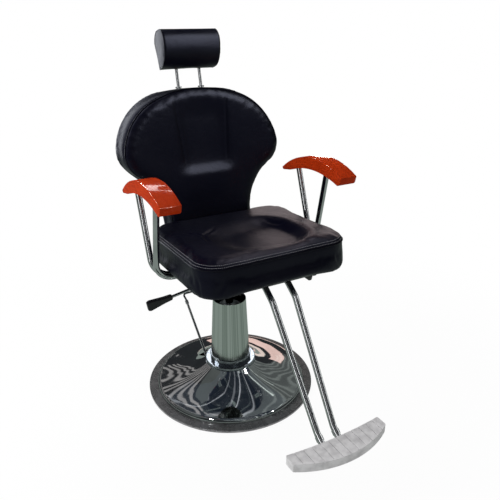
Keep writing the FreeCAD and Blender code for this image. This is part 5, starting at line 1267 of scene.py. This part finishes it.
@dataclass
class HeadPad:
    """The headrest: a rounded roll with flat, piped ends."""

    leaning: LeaningFrame
    half_width: float = 100 * MM
    corners: tuple[Triple, ...] = (
        (57 * MM, 506 * MM, 0.0),
        (72 * MM, 590 * MM, 0.0),
        (40 * MM, 628.5 * MM, 67.6),
        (10 * MM, 628.5 * MM, 0.0),
        (-18 * MM, 575 * MM, 84.3),
        (26 * MM, 511 * MM, 65.2),
    )
    foam: Foam = Foam(3.5 * MM, 3, 3.0, 2.5 * MM)
    welt_lift: float = 0.3 * MM
    welt_radius: float = 1.8 * MM

    def build(self, paints: Paintbox) -> list[Object]:
        """Makes the roll and the piping round its ends."""
        mesh = bmesh.new()
        edges = draw_profile(mesh, self.corners, -self.half_width)
        outline = loop_points(edges)
        push_across(mesh, edges, 2 * self.half_width)
        pad = new_piece("headrest_upholstery", mesh, paints.leather)
        self.foam.fill(pad, lambda point: False)
        subdivide(pad)
        reshape(pad, self.leaning.to_chair)
        made = [pad]
        for side in Side:
            end = [Vector((point.x * -side.value, point.y, point.z)) for point in outline]
            ring = laid(pad, map(self.leaning.to_chair, end), self.welt_lift)
            made.append(tube(f"headrest_welt_{side.name.lower()}", ring, self.welt_radius, paints.piping))
        return made

    def dress(self, pieces: Sequence[Object]) -> None:
        """Attaches the pieces to the headrest and hides the cushion node that they replace."""
        for piece in pieces:
            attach(piece, "headrest")
        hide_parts("headrest_cushion")


# Armrests


@dataclass
class Armrests:
    """The two bent wooden armrests, with finely rounded edges."""

    middle: float = 290.5 * MM
    width: float = 61 * MM
    edge_round: float = 3.2 * MM
    edge_steps: int = 4
    sharp_angle: float = 25.0
    corners: tuple[Triple, ...] = (
        (80 * MM, 759.4 * MM, 90.0),
        (-250 * MM, 794.4 * MM, 65.9),
        (-245.25 * MM, 775.4 * MM, 0.0),
        (-232 * MM, 767.5 * MM, 57.6),
        (30 * MM, 759 * MM, -40.7),
        (72 * MM, 751.4 * MM, 0.0),
    )

    def build(self, paints: Paintbox) -> list[Object]:
        """Makes both armrests."""
        return [self._armrest(side, paints) for side in Side]

    def _armrest(self, side: Side, paints: Paintbox) -> Object:
        """Makes the armrest of one side."""
        mesh = bmesh.new()
        edges = draw_profile(mesh, self.corners, self.middle * side.value - self.width / 2)
        push_across(mesh, edges, self.width)
        least = math.radians(self.sharp_angle)
        sharp = [edge for edge in mesh.edges if edge.calc_face_angle(0.0) > least]
        bmesh.ops.bevel(
            mesh, geom=sharp, offset=self.edge_round, offset_type="OFFSET", segments=self.edge_steps,
            profile=0.5, affect="EDGES", material=-1, clamp_overlap=True,
        )
        bmesh.ops.recalc_face_normals(mesh, faces=mesh.faces)
        return new_piece(f"wooden_armrest_{side.name.lower()}", mesh, paints.lacquer)

    def dress(self, pieces: Sequence[Object]) -> None:
        """Attaches the armrests to the seat and hides the armrest nodes that they replace."""
        for piece, side in zip(pieces, Side):
            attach(piece, "seat")
            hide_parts("armrest_left" if side is Side.LEFT else "armrest_right")


# Hard parts


@dataclass
class HardParts:
    """The chair's metal, wood and plastic nodes, by finish."""

    nodes: Mapping[str, Object]

    def dress(self, paints: Paintbox) -> None:
        """Gives every carried-over node its finish."""
        finishes: dict[Material, tuple[str, ...]] = {
            paints.spun_chrome: ("base_cover",),
            paints.satin_chrome: ("neck_ring", "collar_ring"),
            paints.column_chrome: ("column_cover",),
            paints.chrome: (
                "piston_rod", "swivel_hub", "lever_ferrule", "arm_frame_left", "arm_frame_right",
                "gas_rod", "recline_lever", "headrest_rods", "rod_guides", "footrest_tubes",
                "footrest_collars", "pump_lever",
            ),
            paints.rim_metal: ("floor_ring",),
            paints.zinc: (
                "pressure_tube", "base_bolts", "lever_pin", "pump_spring", "pump_plunger", "pedal_bar",
                "piston_head", "plate_bolts", "arm_studs", "hinge_pins", "gas_pin", "footrest_shaft",
                "release_pin", "cross_rod", "back_screws", "footplate_screws", "footrest_link",
            ),
            paints.black_steel: (
                "lever_bracket", "mount_plate", "seat_frame", "arm_clamps", "hinge_brackets", "gas_bracket",
                "gas_cylinder", "footrest_brackets", "release_bracket", "back_arms", "footrest_sleeve",
            ),
            paints.cast_iron: ("base_plate", "pump_cylinder", "pump_block"),
            paints.gland_metal: ("gland_nut",),
            paints.aluminium: ("footplate",),
            paints.plywood: ("seat_board", "back_board", "headrest_board"),
            paints.plastic: ("recline_grip",),
            paints.rubber: ("rod_seal",),
        }
        for material, names in finishes.items():
            for name in names:
                for slot in self.nodes[name].material_slots:
                    slot.material = material
                log.info("%s: %s", name, material.name)


# Studio


def area_lamp(name: str, size: Pair, power: float, colour: Colour = WHITE) -> Object:
    """A lamp that shines along its -Z from a rectangle."""
    light = bpy.data.lights.new(name, "AREA")
    light.shape = "RECTANGLE"
    light.size, light.size_y = size
    light.energy = power
    light.color = colour
    return link(name, light)


def hide(thing: Object, *rays: str) -> None:
    """Hides an object from some kinds of rays."""
    for ray in rays:
        setattr(thing, f"visible_{ray}", False)


@dataclass(frozen=True)
class Glow:
    """A glowing rectangle that shows only in the reflections of some finishes or pieces."""

    name: str
    strength: float
    shows_in: Gloss
    colour: Colour

    def light_up(self, place: Matrix, width: float, height: float) -> Object:
        """Makes the rectangle as a lamp.

        Args:
            place: Its place, with its glowing face along -Z.
            width: Its size along its X.
            height: Its size along its Y.

        Returns:
            The lamp.
        """
        power = self.strength * width * height * WATTS_OF_A_SQUARE_METRE
        lamp = area_lamp(self.name, (width, height), power, self.colour)
        lamp.matrix_world = place
        hide(lamp, "camera", "diffuse", "transmission")
        return lamp


@dataclass(frozen=True)
class Card(Glow):
    """A glowing card that faces the middle of the chair.

    Its bearing is in degrees from +Y towards +X, low and high are elevations, and its width is an angle.
    """

    bearing: float = 0.0
    low: float = 0.0
    high: float = 10.0
    width: float = 10.0
    distance: float = 4.0

    def build(self) -> Object:
        """Makes the card."""
        height, width = (
            2 * self.distance * math.tan(math.radians(angle) / 2)
            for angle in (self.high - self.low, self.width)
        )
        rise = Matrix.Rotation(math.radians((self.low + self.high) / 2), 4, "X")
        turn = Matrix.Rotation(-math.radians(self.bearing), 4, "Z") @ rise
        place = Matrix.Translation(MIDDLE) @ turn @ Matrix.Translation((0, self.distance, 0))
        return self.light_up(place @ Matrix.Rotation(math.radians(-90), 4, "X"), width, height)


@dataclass(frozen=True)
class Strip(Glow):
    """A level glowing strip, overhead or, facing up, on the floor."""

    left: float = 0.0
    right: float = 1.0
    front: float = 0.0
    rear: float = 1.0
    height: float = 1.6
    faces_up: bool = False

    def build(self) -> Object:
        """Makes the strip."""
        middle = Vector(((self.left + self.right) / 2, (self.front + self.rear) / 2, self.height))
        turn = Matrix.Rotation(math.radians(180 if self.faces_up else 0), 4, "X")
        size = self.right - self.left, self.rear - self.front
        return self.light_up(Matrix.Translation(middle) @ turn, *size)


@dataclass(frozen=True)
class Lamp:
    """A soft square lamp that faces the middle of the chair and doesn't show in gloss."""

    name: str
    place: Triple
    size: float
    power: float

    def build(self) -> None:
        """Makes the lamp."""
        lamp = area_lamp(self.name, (self.size, self.size), self.power)
        lamp.location = self.place
        direction = Vector(MIDDLE) - Vector(self.place)
        lamp.rotation_euler = direction.to_track_quat("-Z", "Y").to_euler()
        hide(lamp, "glossy")


def audience(gloss: Gloss) -> bpy.types.Collection:
    """Gathers the pieces that a gloss names, by their own names or their finishes."""
    group = bpy.data.collections.new(f"shows_in_{gloss.name.lower()}")
    for piece in bpy.data.objects:
        finishes = {slot.material.name.split(".")[0] for slot in piece.material_slots if slot.material}
        if finishes.union({piece.name}) & set(gloss.value):
            group.objects.link(piece)
    return group


def only_reflected(backdrop: Object) -> None:
    """Lets a backdrop show in glossy surfaces alone."""
    hide(backdrop, "camera", "diffuse", "shadow", "transmission")


@dataclass
class Studio:
    """The floor, the lamps, the dim surround with its cards and strips, and the camera."""

    camera_place: Triple = (-0.7673, -1.5246, 1.245)
    camera_pitch: float = -23.0
    camera_yaw: float = -29.05
    camera_roll: float = -0.107
    camera_shift: float = 0.0019
    lens: float = 39.4
    sensor: float = 36.0
    daylight: float = 0.42
    lamps: tuple[Lamp, ...] = (
        Lamp("left_lamp", (-2.6, 0.2, 1.7), 1.6, 52.0),
        Lamp("top_lamp", (0.3, 1.2, 3.0), 1.8, 44.0),
        Lamp("front_lamp", (0.8, -3.2, 1.6), 1.6, 2.0),
    )
    floor_reach: float = 9.0
    floor_fade: Pair = (0.7, 1.7)
    floor_glow: float = 0.95
    floor_colour: Colour = (0.85, 0.85, 0.85)
    surround_reach: float = 6.0
    apron_reach: float = 0.31
    apron_height: float = 2 * MM
    apron_colour: Colour = (0.29, 0.335, 0.305)
    dome_colour: Colour = (0.03, 0.033, 0.036)
    cool: Colour = (0.92, 0.95, 1.0)
    warm: Colour = (1.0, 0.93, 0.85)
    pink: Colour = (1.0, 0.7, 0.62)
    green: Colour = (0.9, 1.0, 0.93)
    slat_top: float = 62.0
    slats: tuple[Triple, ...] = (
        (-68, 3, 0.8), (-46, 2, 0.5), (-24, 1.6, 0.3), (-11, 1.6, 0.5), (6, 1.6, 1.6),
        (16, 1.6, 0.3), (49, 2, 2.4), (58, 1.6, 0.3), (68, 1.6, 0.4), (78, 2.4, 0.9),
        (104, 3, 1.2), (150, 2, 0.9), (196, 3, 1.2), (262, 2.4, 1.6),
    )
    column_slat_top: float = 50.0
    column_slats: tuple[Triple, ...] = (
        (-70, 3, 0.7), (-46, 3, 0.5), (6, 2, 1.4), (49, 3, 1.6), (80, 3, 0.6), (104, 3, 1.0), (150, 3, 0.8),
    )
    cross_start: float = 1.1
    cross_growth: float = 1.2
    cross_share: float = 0.45
    cross_count: int = 8
    cross_strength: float = 0.3
    cross_colour: Colour = (1.0, 0.95, 0.92)
    cross_sides: Pair = (-3.4, 0.5)
    long_ends: Pair = (-2.6, 0.6)
    long_strips: tuple[Triple, ...] = (
        (-0.62, 0.05, 0.9), (-0.2, 0.06, 1.0), (0.26, 0.05, 0.9),
        (0.62, 0.06, 0.6), (0.98, 0.05, 0.7), (1.5, 0.06, 0.4),
    )
    glint_ends: Pair = (-1.0, 0.42)
    glint_height: float = 0.43
    seat_glints: tuple[Triple, ...] = (
        (-0.13, 0.006, 0.4), (-0.03, 0.022, 0.14), (0.035, 0.008, 0.5), (0.12, 0.014, 0.3),
    )
    side_bars: int = 9
    side_low: float = 8.0
    side_pitch: float = 5.0
    side_share: float = 3.0
    side_strength: float = 0.11
    side_bearing: float = 74.0
    side_width: float = 60.0
    side_distance: float = 3.8

    def cards(self) -> list[Card]:
        """The upright cards that the leather, the wood, the bright metal and the base show."""
        wood, tubes, base = Gloss.WOOD, Gloss.TUBES, Gloss.BASE
        made = [
            Card("seat_card", 3.5, Gloss.SEAT, (1.0, 0.9, 0.88), 98, 60, 78, 26),
            Card("seat_wall_card", 1.1, Gloss.SEAT, (1.0, 0.84, 0.83), 46, 4, 46, 44),
            Card("seat_front_card", 0.8, Gloss.SEAT, self.cool, 130, 37, 66, 40),
            Card("lumbar_card", 5.2, Gloss.BACKREST, self.cool, 130, 38, 62, 46),
            Card("back_haze", 0.12, Gloss.BACKREST, (0.45, 0.5, 1.0), 155, -20, 30, 50),
            Card("boxing_card", 2.3, Gloss.BACKREST, self.cool, -27, -14, 24, 40),
            Card("upper_boxing_card", 1.5, Gloss.BACKREST, self.cool, -40, 24, 66, 60),
            Card("seat_side_card", 0.6, Gloss.SEAT, self.cool, -27, -14, 16, 38),
            Card("piping_card", 3.0, Gloss.PIPING, self.cool, -27, -14, 40, 50),
            Card("headrest_card", 4.0, Gloss.HEADREST, self.cool, 148, 14, 37, 40),
            Card("armrest_card", 22.0, wood, (1.0, 0.94, 0.92), 21, 31, 45, 17),
            Card("outer_edge_card", 150.0, wood, self.warm, -30, 14, 42, 46),
            Card("front_edge_card", 200.0, wood, self.warm, 158, 44, 64, 16),
            Card("inner_edge_card", 60.0, wood, self.warm, 46, -8, 12, 14),
            Card("left_card", 2.6, tubes, WHITE, 240, -4, 40, 8),
            Card("right_card", 2.6, tubes, WHITE, 116, -4, 34, 7),
            Card("collar_card", 1.3, Gloss.COLLAR, self.cool, 20, 20, 56, 50),
            Card("collar_side_card", 1.6, Gloss.COLLAR, self.cool, -70, 0, 40, 14),
            Card("rod_card", 3.0, Gloss.ROD, WHITE, 20, -2, 50, 12),
            Card("rod_side_card", 2.0, Gloss.ROD, WHITE, 100, -2, 50, 14),
            Card("left_rim_glint", 60.0, base, WHITE, 240, 44, 48, 3),
            Card("right_rim_glint", 60.0, base, WHITE, 130, 44, 48, 3),
            Card("rear_glow", 0.9, base, self.pink, 36, -1, 15, 30),
            Card("side_glow", 0.075, base, self.green, 74, 8, 56, 64),
        ]
        for row, slats, gloss, high in (
            ("slat", self.slats, tubes, self.slat_top),
            ("column_slat", self.column_slats, Gloss.COLUMN, self.column_slat_top),
        ):
            for number, (bearing, width, strength) in enumerate(slats):
                made.append(Card(f"{row}_{number}", strength, gloss, WHITE, bearing, 0, high, width))
        for number in range(self.side_bars):
            low = self.side_low + number * self.side_pitch
            high = low + self.side_pitch / self.side_share
            made.append(Card(
                f"side_bar_{number}", self.side_strength, base, self.green, self.side_bearing, low, high,
                self.side_width, self.side_distance,
            ))
        return made

    def strips(self) -> list[Strip]:
        """The level strips that show in the base: across behind it, along over it, and on the floor."""
        base = Gloss.BASE
        made = [
            Strip("warm_floor", 0.6, base, self.pink, 0.32, 1.7, 0.3, 2.4, 3 * MM, True),
            Strip("front_left_glow", 0.075, base, self.green, -3.4, 0.0, -0.6, 1.0),
            Strip("seat_shade", 0.024, base, (0.45, 0.66, 1.0), -0.3, 0.36, -1.3, 0.45, 0.44),
        ]
        for number, (left, width, strength) in enumerate(self.seat_glints):
            made.append(Strip(
                f"seat_glint_{number}", strength, base, self.cool, left, left + width, *self.glint_ends,
                self.glint_height,
            ))
        for number in range(self.cross_count):
            front = self.cross_start * self.cross_growth**number
            rear = front * (1 + (self.cross_growth - 1) * self.cross_share)
            made.append(Strip(
                f"cross_strip_{number}", self.cross_strength, base, self.cross_colour, *self.cross_sides,
                front, rear,
            ))
        for number, (left, width, strength) in enumerate(self.long_strips):
            made.append(Strip(
                f"long_strip_{number}", strength, base, self.green, left, left + width, *self.long_ends
            ))
        return made

    def build(self) -> None:
        """Makes the whole studio."""
        self._world()
        self._floor()
        for lamp in self.lamps:
            lamp.build()
        self._surround()
        groups = {gloss: audience(gloss) for gloss in Gloss}
        for glow in (*self.cards(), *self.strips()):
            glow.build().light_linking.receiver_collection = groups[glow.shows_in]
        self._camera()

    def _world(self) -> None:
        """White to the eye and in metal, and a plain level of light on the object."""
        recipe = Recipe("studio", for_world=True)
        level = {"Value": recipe.from_the_eye(), "To Min": self.daylight, "To Max": 1.0}
        strength = recipe.signal("ShaderNodeMapRange", None, level)
        recipe.finish(recipe.signal("ShaderNodeBackground", None, {"Color": WHITE, "Strength": strength}))
        bpy.context.scene.world = recipe.owner

    def _floor(self) -> None:
        """A pale floor that keeps a faint shadow of the chair and fades into the backdrop."""
        mesh = bmesh.new()
        bmesh.ops.create_grid(mesh, x_segments=1, y_segments=1, size=self.floor_reach)
        recipe = Recipe("pale_floor")
        matte = recipe.signal("ShaderNodeBsdfDiffuse", None, {"Color": self.floor_colour})
        bright = recipe.signal("ShaderNodeEmission", None, {"Color": WHITE, "Strength": 1.0})
        away = recipe.between(recipe.away(), *self.floor_fade)
        share = recipe.from_the_eye() * (self.floor_glow + away * (1 - self.floor_glow))
        recipe.finish(recipe.signal("ShaderNodeMixShader", None, {0: share, 1: matte, 2: bright}))
        new_piece("studio_floor", mesh, recipe.owner)

    def _surround(self) -> None:
        """A dim surround and a greenish apron on the floor, which only show in glossy surfaces."""
        dome = bmesh.new()
        bmesh.ops.create_uvsphere(dome, u_segments=48, v_segments=24, radius=self.surround_reach)
        only_reflected(new_piece("dim_dome", dome, glowing("dim_surround", self.dome_colour)))
        apron = bmesh.new()
        level = Matrix.Translation((0, 0, self.apron_height))
        for reach in (self.apron_reach, self.surround_reach):
            bmesh.ops.create_circle(apron, segments=64, radius=reach, matrix=level)
        bmesh.ops.bridge_loops(apron, edges=apron.edges[:])
        only_reflected(new_piece("dim_apron", apron, glowing("apron", self.apron_colour)))

    def _camera(self) -> None:
        """The photograph's viewpoint."""
        data = bpy.data.cameras.new("camera")
        data.sensor_width = self.sensor
        data.lens = self.lens
        data.shift_x = self.camera_shift
        camera = link("camera", data)
        camera.location = self.camera_place
        yaw = Matrix.Rotation(math.radians(self.camera_yaw), 3, "Z")
        pitch = Matrix.Rotation(math.radians(90 + self.camera_pitch), 3, "X")
        roll = Matrix.Rotation(math.radians(self.camera_roll), 3, "Z")
        camera.rotation_euler = (yaw @ pitch @ roll).to_euler()
        bpy.context.scene.camera = camera
        bpy.context.scene.view_settings.view_transform = "Standard"


def report(pieces: Iterable[Object]) -> None:
    """Logs each new piece and its size."""
    for piece in pieces:
        spans = ([vertex.co[axis] / MM for vertex in piece.data.vertices] for axis in range(3))
        size = ", ".join(f"{min(span):.1f} to {max(span):.1f}" for span in spans)
        log.info("%s: %d faces, %s mm", piece.name, len(piece.data.polygons), size)


def main() -> None:
    """Builds the chair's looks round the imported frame."""
    logging.basicConfig(level=logging.INFO, format="%(name)s: %(message)s")
    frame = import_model()
    paints = Paintbox()
    HardParts(frame["nodes"]).dress(paints)
    leaning = LeaningFrame()
    for part in (SeatPad(), BackPad(leaning), HeadPad(leaning), Armrests()):
        pieces = part.build(paints)
        part.dress(pieces)
        report(pieces)
    Studio().build()


if __name__ == "__main__":
    main()
